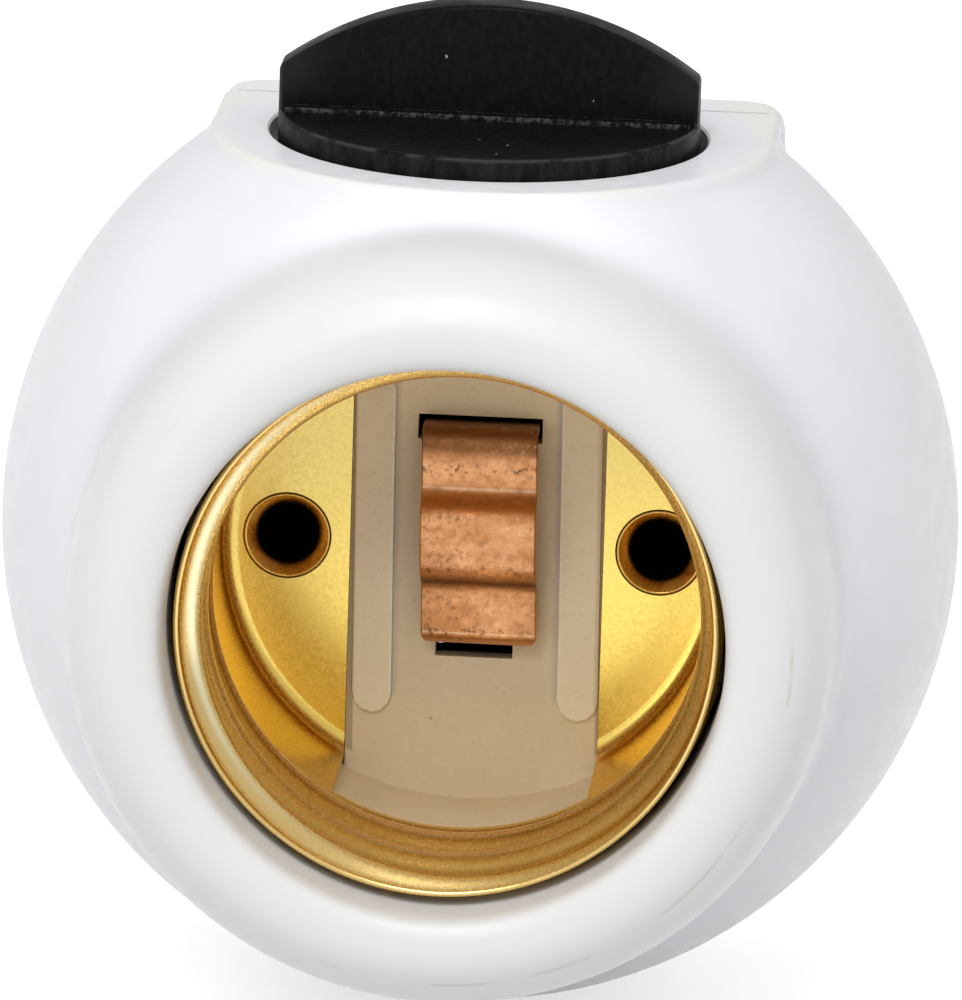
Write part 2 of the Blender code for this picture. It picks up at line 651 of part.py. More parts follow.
def make_core():
    core = turned("socket_core", [
        (0.0, CORE_FLOOR), (CORE_BORE, CORE_FLOOR), (CORE_BORE, CORE_FRONT),
        (CORE_RADIUS, CORE_FRONT), (CORE_RADIUS, CORE_BACK), (0.0, CORE_BACK)],
        along_lamp(), BEIGE, TUBE_SEGMENTS)
    for side, x in (("left", -EYELET_X), ("right", EYELET_X)):
        cut(core, rod("eyelet_seat_" + side, EYELET_HOLE + EYELET_WALL + FIT_GAP, 0.0, FAR, along_lamp(x)))
    half_wall = (CORE_BORE + CORE_RADIUS) / 2
    left = CENTRE_X - BAR_HALF_WIDTH
    right = CENTRE_X + BAR_HALF_WIDTH
    left_angle = math.degrees(math.acos(left / half_wall))
    right_angle = math.degrees(math.acos(right / half_wall))
    ends = arc((0, 0), half_wall, right_angle, left_angle, 6)
    ends += arc((0, 0), half_wall, -left_angle, -right_angle, 6)
    bar = plate("bar", ends, (CORE_FLOOR + CORE_BACK) / 2, BAR_FACE, along_lamp())
    join(core, bar)
    for side, x in (("left", left + RIB_INSET + RIB_WIDTH / 2), ("right", right - RIB_INSET - RIB_WIDTH / 2)):
        rib = plate("rib_" + side, rounded_bar((x, 0.0), RIB_WIDTH / 2, RIB_HALF_LENGTH),
                    (CORE_FLOOR + CORE_BACK) / 2, BAR_FACE + RIB_HEIGHT, along_lamp())
        weld(join(core, rib))
    ear_back = CORE_BACK + EAR_SETBACK
    ear_front = CORE_FLOOR - EAR_SETBACK
    for side, sign in (("left", -1), ("right", 1)):
        inward = (CORE_RADIUS - EAR_RADIUS) / math.sqrt(2)
        turn = 45 if sign > 0 else -45
        x = sign * EAR_OFFSET
        ear = plate("ear_" + side,
                    arc((x, -EAR_OFFSET), EAR_RADIUS, turn - 180, turn, 6)
                    + arc((sign * inward, -inward), EAR_RADIUS, turn, turn + 180, 6),
                    ear_back, ear_front, along_lamp())
        hole = rod("ear_hole_" + side, SMALL_SCREW_RADIUS + FIT_GAP, 0.0, FAR, along_lamp(x, -EAR_OFFSET))
        weld(cut(join(core, ear), hole))
    half = CONTACT_WIDTH / 2 + FIT_GAP
    below = CONTACT_TOP - CONTACT_SHEET / 2 - FIT_GAP
    upper_slot = box("upper_slot", (CENTRE_X - half, 0.0, below),
                     (CENTRE_X + half, FAR, CONTACT_TOP + CONTACT_SHEET / 2 + SLOT_HEADROOM))
    half = TAB_WIDTH / 2 + FIT_GAP
    lower_slot = box("lower_slot", (CENTRE_X - half, 0.0, CONTACT_FOOT - SLOT_LEGROOM),
                     (CENTRE_X + half, FAR, CONTACT_FOOT + CONTACT_SHEET / 2 + FIT_GAP))
    groove = rod("rotor_groove", BLADE_X + FIT_GAP, BRACKET_BOTTOM + BRACKET_PLATE, FAR, SWITCH_AXIS)
    weld(cut(core, upper_slot, lower_slot, groove))


def shell_rows():
    """The screw shell's middle line as (radius, depth, share of the thread), from flap to rim."""
    flap = FLAP_FACE - SHEET / 2
    rows = [(FLAP_REACH, flap, 0.0)]
    fold = arc((SKIRT_RADIUS - FOLD_RADIUS, flap + FOLD_RADIUS), FOLD_RADIUS, -90, 0, 3)
    rows += [(radius, depth, 0.0) for radius, depth in fold]
    rows.append((SKIRT_RADIUS, WINDOW_FRONT - SHEET, 0.0))
    steps = round((THREAD_END - THREAD_START) / THREAD_PITCH * THREAD_STEPS)
    for step in range(steps + 1):
        depth = THREAD_START + (THREAD_END - THREAD_START) * step / steps
        rows.append((SKIRT_RADIUS, depth, 1.0))
    rows.append(((SKIRT_RADIUS + RIM_RADIUS) / 2, (THREAD_END + RIM_FRONT) / 2, 0.2))
    rows.append((RIM_RADIUS, RIM_FRONT, 0.0))
    return rows


def make_screw_shell():
    rows = shell_rows()
    form = bmesh.new()
    bmesh.ops.create_grid(form, x_segments=SHELL_SEGMENTS, y_segments=len(rows) - 1, size=0.5)
    for vertex in form.verts:
        angle = (vertex.co.x + 0.5) * math.tau
        radius, depth, share = rows[round((vertex.co.y + 0.5) * (len(rows) - 1))]
        turn = (depth - THREAD_START) / THREAD_PITCH - angle / math.tau
        fade = share * min(1.0, (depth - THREAD_START) / THREAD_PITCH * 2 + 0.1)
        radius -= fade * THREAD_HEIGHT * (0.5 - 0.5 * math.cos(math.tau * turn))
        vertex.co = (radius * math.cos(angle), radius * math.sin(angle), depth)
    bmesh.ops.remove_doubles(form, verts=form.verts, dist=MERGE)
    bmesh.ops.recalc_face_normals(form, faces=form.faces)
    mesh = bpy.data.meshes.new("screw_shell")
    form.to_mesh(mesh)
    form.free()
    shell = add_object("screw_shell", mesh, along_lamp(), BRASS)
    sheet = shell.modifiers.new("sheet", "SOLIDIFY")
    sheet.thickness = SHEET
    sheet.offset = 0.0
    half = BAR_HALF_WIDTH + FIT_GAP
    window = box("window", (CENTRE_X - half, 0.0, -FAR), (CENTRE_X + half, WINDOW_FRONT, FAR))
    cut(shell, window)
    for side, x in (("left", -EYELET_X), ("right", EYELET_X)):
        cut(shell, rod("flap_hole_" + side, EYELET_HOLE + EYELET_WALL + FIT_GAP, 0.0, BALL_DEPTH + CORE_BORE,
                       along_lamp(x)))


def make_eyelets():
    """Hollow rivets that hold the flaps to the core. The left one also holds the neutral strap."""
    outer = EYELET_HOLE + EYELET_WALL
    seat = FLAP_FACE + FIT_GAP
    for side, x, back in (("left", -EYELET_X, BEHIND_CORE - STRAP_SHEET - FIT_GAP),
                          ("right", EYELET_X, BEHIND_CORE)):
        dish_top = seat + EYELET_DISH_HEIGHT
        profile = [(EYELET_HOLE, back - EYELET_WALL), (EYELET_HOLE, seat - EYELET_WALL / 2),
                   (EYELET_DISH - EYELET_WALL / 2, dish_top), (EYELET_DISH, dish_top - EYELET_WALL / 3),
                   (EYELET_DISH, seat), (outer, seat), (outer, back), (EYELET_DISH, back),
                   (EYELET_DISH, back - EYELET_WALL)]
        turned("eyelet_" + side, profile, along_lamp(x), BRASS, SMALL_SEGMENTS + 4, closed=True)


def make_centre_contact():
    middle = CONTACT_FACE - CONTACT_SHEET / 2
    raised = middle + CONTACT_RISE
    tail = TAIL_DEPTH + CONTACT_SHEET / 2
    sheet = CONTACT_SHEET
    path = [(tail, CONTACT_TOP * 0.2), (tail, CONTACT_TOP - 0.6 * sheet), (tail + 0.6 * sheet, CONTACT_TOP),
            (middle - 1.2 * sheet, CONTACT_TOP), (middle - 0.3 * sheet, CONTACT_TOP - 0.4 * sheet),
            (middle, CONTACT_TOP - 1.4 * sheet), (middle, CONTACT_TOP - 7.05 * sheet),
            (raised, CONTACT_TOP - 9.5 * sheet), (raised, CONTACT_FOOT + 9.9 * sheet),
            (middle, CONTACT_FOOT + 7.95 * sheet), (middle, CONTACT_FOOT + 1.4 * sheet),
            (middle - 0.35 * sheet, CONTACT_FOOT + 0.45 * sheet), (middle - 1.3 * sheet, CONTACT_FOOT),
            (CORE_FLOOR, CONTACT_FOOT)]
    half = CONTACT_WIDTH / 2
    strip = plate("centre_contact", strip_outline(path, sheet), -half, half, seen_from_side(CENTRE_X), COPPER)
    for side, sign in (("left", -1), ("right", 1)):
        near = CENTRE_X + sign * TAB_WIDTH / 2
        far = CENTRE_X + sign * CONTACT_WIDTH
        cut(strip, box("tab_side_" + side, (min(near, far), 0.0, -FAR),
                       (max(near, far), middle - sheet, CONTACT_FOOT + sheet)))


# The switch

def make_switch():
    spindle_ends = [(0.0, SPINDLE_TOP), (SPINDLE_RADIUS, SPINDLE_TOP), (SPINDLE_RADIUS, SPINDLE_BOTTOM),
                    (0.0, SPINDLE_BOTTOM)]
    turned("spindle", spindle_ends, SWITCH_AXIS, STEEL, SMALL_SEGMENTS)
    outline = []
    for step in range(8 * WHEEL_LOBES):
        angle = math.tau * step / (8 * WHEEL_LOBES)
        radius = WHEEL_RADIUS - WHEEL_LOBE * (1 - math.cos(WHEEL_LOBES * (angle - math.pi / WHEEL_LOBES)))
        outline.append((radius * math.cos(angle), radius * math.sin(angle)))
    wheel = plate("detent_wheel", outline, WHEEL_BOTTOM, WHEEL_TOP, SWITCH_AXIS, BLACK)
    bore = rod("switch_bore", BEARING_RADIUS, -FAR, FAR, SWITCH_AXIS)
    cut(wheel, bore)
    rotor_bottom = BRACKET_BOTTOM + BRACKET_PLATE + 2 * FIT_GAP + BLADE_SHEET
    rotor_top = BRACKET_TOP - BRACKET_PLATE - FIT_GAP
    turned("rotor", [(BEARING_RADIUS, rotor_bottom), (BEARING_RADIUS, rotor_top), (ROTOR_RADIUS, rotor_top),
                     (ROTOR_RADIUS, rotor_bottom)], SWITCH_AXIS, BLACK, SMALL_SEGMENTS + 4, closed=True)
    leg = BRIDGE_REACH - BRIDGE_SHEET / 2
    leg_top = rotor_bottom + BRIDGE_SHARE * (rotor_top - rotor_bottom)
    base = rotor_bottom - FIT_GAP - BRIDGE_SHEET / 2
    half = BRIDGE_WIDTH / 2
    path = [(-leg, leg_top), (-leg, base), (leg, base), (leg, leg_top)]
    bridge = plate("contact_bridge", strip_outline(path, BRIDGE_SHEET), -half, half,
                   SWITCH_AXIS @ FACING_LAMP, BRASS)
    pad = turned("bridge_pad", [(0.0, base + BRIDGE_SHEET / 3), (ROTOR_RADIUS, base + BRIDGE_SHEET / 3),
                                (ROTOR_RADIUS, base - BRIDGE_SHEET / 3), (0.0, base - BRIDGE_SHEET / 3)],
                 SWITCH_AXIS, segments=SMALL_SEGMENTS)
    join(bridge, pad)
    cut(bridge, bore)
    clip_top = BRACKET_BOTTOM - FIT_GAP
    turned("retaining_clip", [(BEARING_RADIUS, clip_top - CLIP_THICKNESS), (BEARING_RADIUS, clip_top),
                              (CLIP_RADIUS, clip_top), (CLIP_RADIUS, clip_top - CLIP_THICKNESS)],
           SWITCH_AXIS, STEEL, SMALL_SEGMENTS, closed=True)


def make_bracket():
    """The frame behind the core that the spindle turns in, with the leaf spring on its back wall."""
    spring_back = SPRING_FACE - SPRING_SHEET
    seat = SPRING_SEAT
    wall = SPRING_FACE
    under = BRACKET_TOP - BRACKET_PLATE
    over = BRACKET_BOTTOM + BRACKET_PLATE
    crown = BOSS_CEILING - FIT_GAP
    outline = [(BRACKET_BACK, BRACKET_BOTTOM), (BEHIND_CORE, BRACKET_BOTTOM), (BEHIND_CORE, over),
               (wall, over), (wall, under), (BEHIND_CORE, under), (BEHIND_CORE, BRACKET_TOP),
               (seat, BRACKET_TOP), (seat, crown), (BRACKET_BACK, crown)]
    half = BRACKET_HALF_WIDTH
    bracket = plate("switch_bracket", outline, -half, half, seen_from_side(AXIS_X), STEEL)
    for side, sign in (("left", -1), ("right", 1)):
        near = AXIS_X + sign * BRACKET_TONGUE
        far = AXIS_X + sign * 2 * half
        cut(bracket, box("beside_tongue_" + side, (min(near, far), wall, -FAR),
                         (max(near, far), FAR, over + FIT_GAP)))
    cut(bracket, rod("bearing", BEARING_RADIUS, -FAR, FAR, SWITCH_AXIS))
    spring = box("detent_spring", (AXIS_X - SPRING_HALF_LENGTH, spring_back, BRACKET_TOP + FIT_GAP),
                 (AXIS_X + SPRING_HALF_LENGTH, SPRING_FACE, WHEEL_TOP), STEEL)
    for side, sign in (("left", -1), ("right", 1)):
        x = AXIS_X + sign * (SPRING_HALF_LENGTH - 4 * SPRING_SHEET)
        cut(spring, rod("spring_hole_" + side, SPRING_SHEET, 0.0, FAR,
                        along_lamp(x, (BRACKET_TOP + FIT_GAP + WHEEL_TOP) / 2)))


def make_blades():
    """The fixed contacts beside the rotor: one under the centre contact's tail, one to a terminal."""
    sheet = BLADE_SHEET
    foot_front = TAIL_DEPTH - FIT_GAP
    left = AXIS_X - BLADE_X - sheet / 2
    path = [(left, -BLADE_BACK), (left, -foot_front + sheet / 2), (CENTRE_X + 4 * sheet, -foot_front + sheet / 2)]
    foot_low = CONTACT_TOP * 0.25
    foot_high = CONTACT_TOP * 0.9
    load = plate("load_contact", strip_outline(path, sheet), foot_low, BLADE_TOP, UPRIGHT, BRASS)
    cut(load, box("above_load_foot", (left + sheet, 0.0, foot_high), (FAR, FAR, FAR)))

    right = AXIS_X + BLADE_X + sheet / 2
    strap_middle = BEHIND_CORE - STRAP_SHEET / 2
    path = [(right, -BLADE_BACK), (right, -strap_middle), (TERMINAL_X + TERMINAL_WIDTH / 2, -strap_middle)]
    low = TERMINAL_Z - TERMINAL_HEIGHT / 2
    line = plate("line_contact", strip_outline(path, STRAP_SHEET), low, BLADE_TOP, UPRIGHT, BRASS)
    cut(line, box("above_line_foot", (right + sheet, 0.0, low + TERMINAL_HEIGHT), (FAR, FAR, FAR)))
    cut(line, box("beside_tail", (right - 2 * sheet, foot_front, 0.0), (FAR, FAR, FAR)))


def make_terminals():
    half_width = TERMINAL_WIDTH / 2
    half_height = TERMINAL_HEIGHT / 2
    for name, x in (("neutral_terminal", -TERMINAL_X), ("line_terminal", TERMINAL_X)):
        block = box(name, (x - half_width, TERMINAL_BACK, TERMINAL_Z - half_height),
                    (x + half_width, TERMINAL_FRONT, TERMINAL_Z + half_height), BRASS)
        round_edges(block, FIT_GAP, 1)
        bore = rod(name + "_bore", SMALL_SCREW_RADIUS + FIT_GAP, 0.0, TERMINAL_FRONT - STRAP_SHEET * 3,
                   along_lamp(x, TERMINAL_Z))
        wire_depth = TERMINAL_FRONT - STRAP_SHEET * 3 - WIRE_BORE
        place = Matrix.Translation((x, -wire_depth, 0))
        wire = rod(name + "_wire", WIRE_BORE, -FAR, FAR, place)
        cut(block, bore, wire)
        screw(name + "_screw", SMALL_SCREW_RADIUS, SMALL_HEAD_RADIUS,
              TERMINAL_BACK - FIT_GAP - SCREW_HEAD_HEIGHT, wire_depth - WIRE_BORE / 2, x, TERMINAL_Z)
    ring = EYELET_DISH + FIT_GAP
    low = TERMINAL_Z - half_height
    outer = -TERMINAL_X - half_width
    inner = half_width - TERMINAL_X
    outline = arc((-EYELET_X, 0.0), ring, 0, 180, 10) + [
        (outer, TERMINAL_Z + half_height), (outer, low), (inner, low), (inner, TERMINAL_Z + half_height)]
    strap = plate("neutral_strap", outline, BEHIND_CORE - STRAP_SHEET, BEHIND_CORE, along_lamp(), BRASS)
    cut(strap, rod("strap_hole", EYELET_HOLE + EYELET_WALL + FIT_GAP, 0.0, FAR, along_lamp(-EYELET_X)))


def finish_parts():
    """Apply the modifiers and shade the round faces smooth."""
    bpy.context.view_layer.update()
    depsgraph = bpy.context.evaluated_depsgraph_get()
    finished = {}
    for obj in PARTS.objects:
        finished[obj] = bpy.data.meshes.new_from_object(obj.evaluated_get(depsgraph))
    for obj, mesh in finished.items():
        mesh.name = obj.name
        obj.modifiers.clear()
        obj.data = mesh
        mesh.shade_smooth()
        mesh.set_sharp_from_angle(angle=math.radians(35))


make_front_shell()
make_back_cover()
make_housing_screws()
make_knob()
make_core()
make_screw_shell()
make_eyelets()
make_centre_contact()
make_switch()
make_bracket()
make_blades()
make_terminals()
finish_parts()
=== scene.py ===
import json
import math

import bpy
import numpy as np
from mathutils import Matrix, Vector


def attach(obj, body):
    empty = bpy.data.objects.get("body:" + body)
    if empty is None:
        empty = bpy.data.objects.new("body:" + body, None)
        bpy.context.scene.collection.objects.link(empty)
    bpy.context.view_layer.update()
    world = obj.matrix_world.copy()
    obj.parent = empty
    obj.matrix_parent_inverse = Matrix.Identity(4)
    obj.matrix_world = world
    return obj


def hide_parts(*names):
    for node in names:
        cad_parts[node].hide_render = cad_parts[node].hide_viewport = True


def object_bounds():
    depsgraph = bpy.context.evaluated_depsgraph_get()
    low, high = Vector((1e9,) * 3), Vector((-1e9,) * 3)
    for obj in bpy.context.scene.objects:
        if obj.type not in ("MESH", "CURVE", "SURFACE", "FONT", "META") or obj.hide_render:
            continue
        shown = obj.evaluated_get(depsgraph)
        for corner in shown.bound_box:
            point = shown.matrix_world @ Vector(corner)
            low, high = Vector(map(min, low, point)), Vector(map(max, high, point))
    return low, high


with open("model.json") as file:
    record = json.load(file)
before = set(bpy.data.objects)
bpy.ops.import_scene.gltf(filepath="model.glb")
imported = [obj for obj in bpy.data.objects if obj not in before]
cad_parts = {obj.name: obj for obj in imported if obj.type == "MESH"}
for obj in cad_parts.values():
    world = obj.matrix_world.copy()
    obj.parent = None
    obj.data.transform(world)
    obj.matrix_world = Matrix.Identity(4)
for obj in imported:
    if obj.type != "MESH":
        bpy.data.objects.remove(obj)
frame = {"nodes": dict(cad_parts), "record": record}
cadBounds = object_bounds()
print("frame loaded:", len(frame["nodes"]), "nodes")

mm = 0.001  # lengths below are in millimetres: x to the right, depth from the wall to the lamp, z up


# Shader maths

class Value:  # one output socket, so that shader maths reads as a plain expression
    def __init__(self, nodes, socket):
        self.nodes = nodes
        self.socket = socket

    def maths(self, operation, *others):
        return self.nodes.node("Math", {"operation": operation}, dict(enumerate((self, *others))))

    def either(self, other):  # the larger of two shares
        return self.maths("MAXIMUM", other)

    def __add__(self, other):
        return self.maths("ADD", other)

    def __sub__(self, other):
        return self.maths("SUBTRACT", other)

    def __rsub__(self, other):
        return self.nodes.node("Math", {"operation": "SUBTRACT"}, {0: other, 1: self})

    def __mul__(self, other):
        return self.maths("MULTIPLY", other)

    def __abs__(self):
        return self.maths("ABSOLUTE")

    __radd__ = __add__
    __rmul__ = __mul__


class Nodes:  # the node tree of a material or of the world
    def __init__(self, owner):
        owner.use_nodes = True
        self.tree = owner.node_tree

    def node(self, kind, settings=None, inputs=None, output=0):
        made = self.tree.nodes.new("ShaderNode" + kind)
        for key, value in (settings or {}).items():
            setattr(made, key, value)
        for key, value in (inputs or {}).items():
            if isinstance(value, Value):
                self.tree.links.new(value.socket, made.inputs[key])
            else:
                made.inputs[key].default_value = value
        return Value(self, made.outputs[output])


class Finish(Nodes):  # one material, and the nodes that vary its surface
    def __init__(self, name, **constants):
        self.material = bpy.data.materials.new(name)
        super().__init__(self.material)
        self.shader = self.tree.nodes["Principled BSDF"]
        for socket, value in constants.items():
            self.shader.inputs[socket.replace("_", " ")].default_value = value
        self.place = self.node("TexCoord", output=3)

    def feed(self, socket, value):
        self.tree.links.new(value.socket, self.shader.inputs[socket])

    def axes(self):  # x, depth and z in millimetres
        x, y, z = [self.node("SeparateXYZ", inputs={0: self.place}, output=i) for i in range(3)]
        return x * (1 / mm), y * (-1 / mm), z * (1 / mm)

    def stretched(self, x, y, z):
        return self.node("VectorMath", {"operation": "MULTIPLY"}, {0: self.place, 1: (x, y, z)})

    def noise(self, scale, detail=2.0, roughness=0.5, where=None):  # scales are in cells to the metre
        return self.node("TexNoise", inputs={"Vector": where or self.place, "Scale": scale, "Detail": detail,
                                             "Roughness": roughness})

    def fade(self, value, start, end, low=0.0, high=1.0):
        return self.node("MapRange", {"interpolation_type": "SMOOTHSTEP"},
                         {0: value, 1: start, 2: end, 3: low, 4: high})

    def fall(self, value, start, end):  # 1 up to the start, 0 from the end on
        return self.fade(value, start, end, 1.0, 0.0)

    def line(self, value, centre, width):  # 1 on the centre, 0 a width away
        return self.fall(abs(value - centre), 0.0, width)

    def hypotenuse(self, first, second):
        return (first * first + second * second).maths("SQRT")

    def mix(self, share, first, second):
        colours = [value if isinstance(value, Value) else (*value, 1.0) for value in (first, second)]
        return self.node("Mix", {"data_type": "RGBA"}, {0: share, 6: colours[0], 7: colours[1]}, output=2)

    def shadeInHoles(self, x, depth, z, below):  # 1 deep inside the two holes for the mounting screws, where painted shade goes
        aside = self.hypotenuse(abs(x) - shell["eyeletX"], z)
        way = housing["screwWay"]
        return self.fall(aside, way, way + 0.4) * self.fall(depth, below, below + 0.25)

    def paintShade(self, share):  # painted shade: plain black, with no sheen, where the share is 1
        black = self.node("BsdfDiffuse", inputs={"Color": (0.002, 0.002, 0.002, 1)})
        mixed = self.node("MixShader", inputs={0: share, 1: Value(self, self.shader.outputs[0]), 2: black})
        self.tree.links.new(mixed.socket, self.tree.nodes["Material Output"].inputs[0])

    def bump(self, height, distance, strength=1.0, onto=None):
        inputs = {"Height": height, "Distance": distance * mm, "Strength": strength}
        if onto:
            inputs["Normal"] = onto
        return self.node("Bump", inputs=inputs)

    def specks(self, scale, size, share):  # small sparse spots with an uneven outline
        colours = self.node("TexNoise", inputs={"Vector": self.place, "Scale": scale * 4}, output=1)
        wobble = self.node("VectorMath", {"operation": "SCALE"}, {0: colours, "Scale": 0.35 / scale})
        where = self.node("VectorMath", {"operation": "ADD"}, {0: self.place, 1: wobble})
        cells = {"Vector": where, "Scale": scale}
        spots = self.fall(self.node("TexVoronoi", inputs=cells), size * 0.6, size)
        chosen = self.node("SeparateColor", inputs={0: self.node("TexVoronoi", inputs=cells, output=1)})
        return spots * self.fade(chosen, 1 - share, 1.001 - share)


# Mesh tools

def addPiece(name, vertices, faces):  # vertices as (x, depth, z) in millimetres
    points = np.asarray(vertices, float).reshape(-1, 3)
    inFrame = np.column_stack((points[:, 0], -points[:, 1], points[:, 2])) * mm
    mesh = bpy.data.meshes.new(name)
    mesh.from_pydata(inFrame.tolist(), [], [list(face) for face in faces])
    piece = bpy.data.objects.new(name, mesh)
    bpy.context.scene.collection.objects.link(piece)
    weld = piece.modifiers.new("weld", "WELD")
    weld.merge_threshold = 0.001 * mm
    applyModifiers(piece)
    bpy.context.view_layer.objects.active = piece
    bpy.ops.object.mode_set(mode="EDIT")
    bpy.ops.mesh.select_all(action="SELECT")
    bpy.ops.mesh.normals_make_consistent(inside=False)
    bpy.ops.object.mode_set(mode="OBJECT")
    return piece


def applyModifiers(piece):
    depsgraph = bpy.context.evaluated_depsgraph_get()
    mesh = bpy.data.meshes.new_from_object(piece.evaluated_get(depsgraph))
    piece.modifiers.clear()
    piece.data = mesh
    mesh.name = piece.name


def gridPiece(name, points, closedRows=True):  # points as rows x columns x 3, where each row is a ring
    rows, columns = points.shape[:2]
    ids = np.arange(rows * columns).reshape(rows, columns)
    after = np.roll(ids, -1, axis=0)
    if not closedRows:
        ids, after = ids[:-1], after[:-1]
    faces = np.stack((ids, np.roll(ids, -1, axis=1), np.roll(after, -1, axis=1), after), axis=-1)
    return addPiece(name, points, faces.reshape(-1, 4))


def turned(name, profile, segments, closedRows=False, axis="lamp", centre=(0, 0)):
    # the profile is (radius, height) points: along the lamp, height is the depth, and centre is x and z;
    # along the knob, height is z, and centre is x and the depth
    profile = np.asarray(profile, float)
    angles = np.linspace(0, math.tau, segments, endpoint=False)
    across = profile[:, :1] * np.cos(angles) + centre[0]
    up = profile[:, :1] * np.sin(angles) + centre[1]
    along = np.repeat(profile[:, 1:], segments, axis=1)
    order = (across, along, up) if axis == "lamp" else (across, up, along)
    return gridPiece(name, np.stack(order, axis=-1), closedRows)


def extruded(name, outline, low, high, axis="knob"):  # a flat outline given thickness along z or the depth
    outline = np.asarray(outline, float)
    first, second = outline[:, 0], outline[:, 1]
    count = len(outline)
    rings = []
    for level in (low, high):
        flat = np.full(count, float(level))
        rings.append(np.stack((first, second, flat) if axis == "knob" else (first, flat, second), axis=-1))
    sides = [(i, (i + 1) % count, (i + 1) % count + count, i + count) for i in range(count)]
    caps = [tuple(range(count)), tuple(range(count, 2 * count))]
    return addPiece(name, np.concatenate(rings), sides + caps)


def rectangle(left, right, low, high):
    return [(left, low), (right, low), (right, high), (left, high)]


def combine(piece, tools, operation="DIFFERENCE"):
    for tool in tools:
        step = piece.modifiers.new(tool.name, "BOOLEAN")
        step.operation = operation
        step.solver = "EXACT"
        step.object = tool
    bpy.context.view_layer.update()
    applyModifiers(piece)
    for tool in tools:
        bpy.data.objects.remove(tool, do_unlink=True)


def bevel(piece, width, segments):
    step = piece.modifiers.new("bevel", "BEVEL")
    step.width = width * mm
    step.segments = segments
    step.limit_method = "ANGLE"
    step.angle_limit = math.radians(50)
    step.harden_normals = False
    applyModifiers(piece)
    return piece


def finishPiece(piece, material, body, node, angle=38):
    piece.data.materials.clear()
    piece.data.materials.append(material)
    piece.data.shade_smooth()
    piece.data.set_sharp_from_angle(angle=math.radians(angle))
    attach(piece, body)
    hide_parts(node)
    print(piece.name, "made,", len(piece.data.polygons), "faces")


def arc(centre, radius, start, end, steps):  # angles in degrees
    angles = np.radians(np.linspace(start, end, steps + 1))
    return np.column_stack((centre[0] + radius * np.cos(angles), centre[1] + radius * np.sin(angles)))


def straight(start, end, steps):
    return np.linspace(start, end, steps + 1)


def smoothPath(points, steps):  # an even curve through every point
    points = np.asarray(points, float)
    padded = np.vstack((2 * points[0] - points[1], points, 2 * points[-1] - points[-2]))
    curve = []
    for i in range(1, len(padded) - 2):
        a, b, c, d = padded[i - 1:i + 3]
        for t in np.linspace(0, 1, steps, endpoint=False):
            curve.append(0.5 * (2 * b + (c - a) * t + (2 * a - 5 * b + 4 * c - d) * t ** 2
                                + (3 * b - a - 3 * c + d) * t ** 3))
    curve.append(points[-1])
    return np.array(curve)


def roundedPath(corners, radius, steps):  # the corners of a bent sheet, each turned into an even bend
    corners = np.asarray(corners, float)
    path = [corners[0]]
    for before, here, after in zip(corners, corners[1:], corners[2:]):
        toBefore = before - here
        toAfter = after - here
        reach = min(radius, 0.45 * np.linalg.norm(toBefore), 0.45 * np.linalg.norm(toAfter))
        start = here + toBefore / np.linalg.norm(toBefore) * reach
        end = here + toAfter / np.linalg.norm(toAfter) * reach
        for t in np.linspace(0, 1, steps + 1):
            path.append((1 - t) ** 2 * start + 2 * t * (1 - t) * here + t ** 2 * end)
    path.append(corners[-1])
    return np.array(path)


# Housing

housing = {
    "ballRadius": 25.35,
    "ballDepth": 12.2,
    "collarRadius": 20.05,
    "collarStart": 31.6,
    "neckFillet": 5.0,
    "mouthRadius": 14.48,
    "mouthStep": 27.3,
    "coreSeat": 16.2,
    "innerRadius": 22.35,
    "seamFront": 5.15,
    "bossRadius": 15.4,
    "bossDraft": 0.55,
    "bossFoot": 14.6,
    "bossTop": 21.15,
    "bossEdge": 0.45,
    "bossBlend": 0.5,
    "bossLimit": 31,  # no boss in front of this depth
    "ceiling": 18.2,
    "wellRadius": 11.55,
    "wellFloor": 19.6,
    "wellLip": 0.12,
    "hubHole": 2.6,
    "knobX": -0.15,
    "knobDepth": 12.5,
    "screwWay": 3.4,  # the radius of painted shade round each mounting screw's line
}


def collarEdge():  # the front of the collar as (radius, depth), from the mouth outwards
    return smoothPath([(14.48, 37.4), (14.5, 38.3), (14.68, 38.88), (15.2, 39.24), (16.1, 39.38), (17.0, 39.26),
                       (17.8, 38.88), (18.6, 38.2), (19.2, 37.25), (19.65, 35.9), (19.9, 34.3), (20.03, 32.4)], 5)


def housingProfile():
    h = housing
    reach = h["ballRadius"] + h["neckFillet"]
    side = h["collarRadius"] + h["neckFillet"]
    rise = math.sqrt(reach ** 2 - side ** 2)
    touch = math.degrees(math.atan2(rise, side))
    neck = arc((side, h["ballDepth"] + rise), h["neckFillet"], 180, 180 + touch, 14)
    front = arc((0, h["ballDepth"]), h["ballRadius"], touch, 0, 70)
    back = math.degrees(math.asin((h["ballDepth"] - h["seamFront"]) / h["ballRadius"]))
    rear = arc((0, h["ballDepth"]), h["ballRadius"], 0, -back, 24)
    collar = straight((h["collarRadius"], h["collarStart"]), neck[0], 6)
    return np.vstack((collarEdge(), collar[:-1], neck[:-1], front[:-1], rear))


def crowdedAngles():  # columns round the lamp's axis, close together under the boss
    fine, coarse, crowd = 0.6, 2.5, 50
    angles = []
    angle = 0.0
    while angle < 360:
        angles.append(angle)
        angle += fine if abs(angle - 90) < crowd else coarse
    return np.radians(np.array(angles) * 360 / angle)


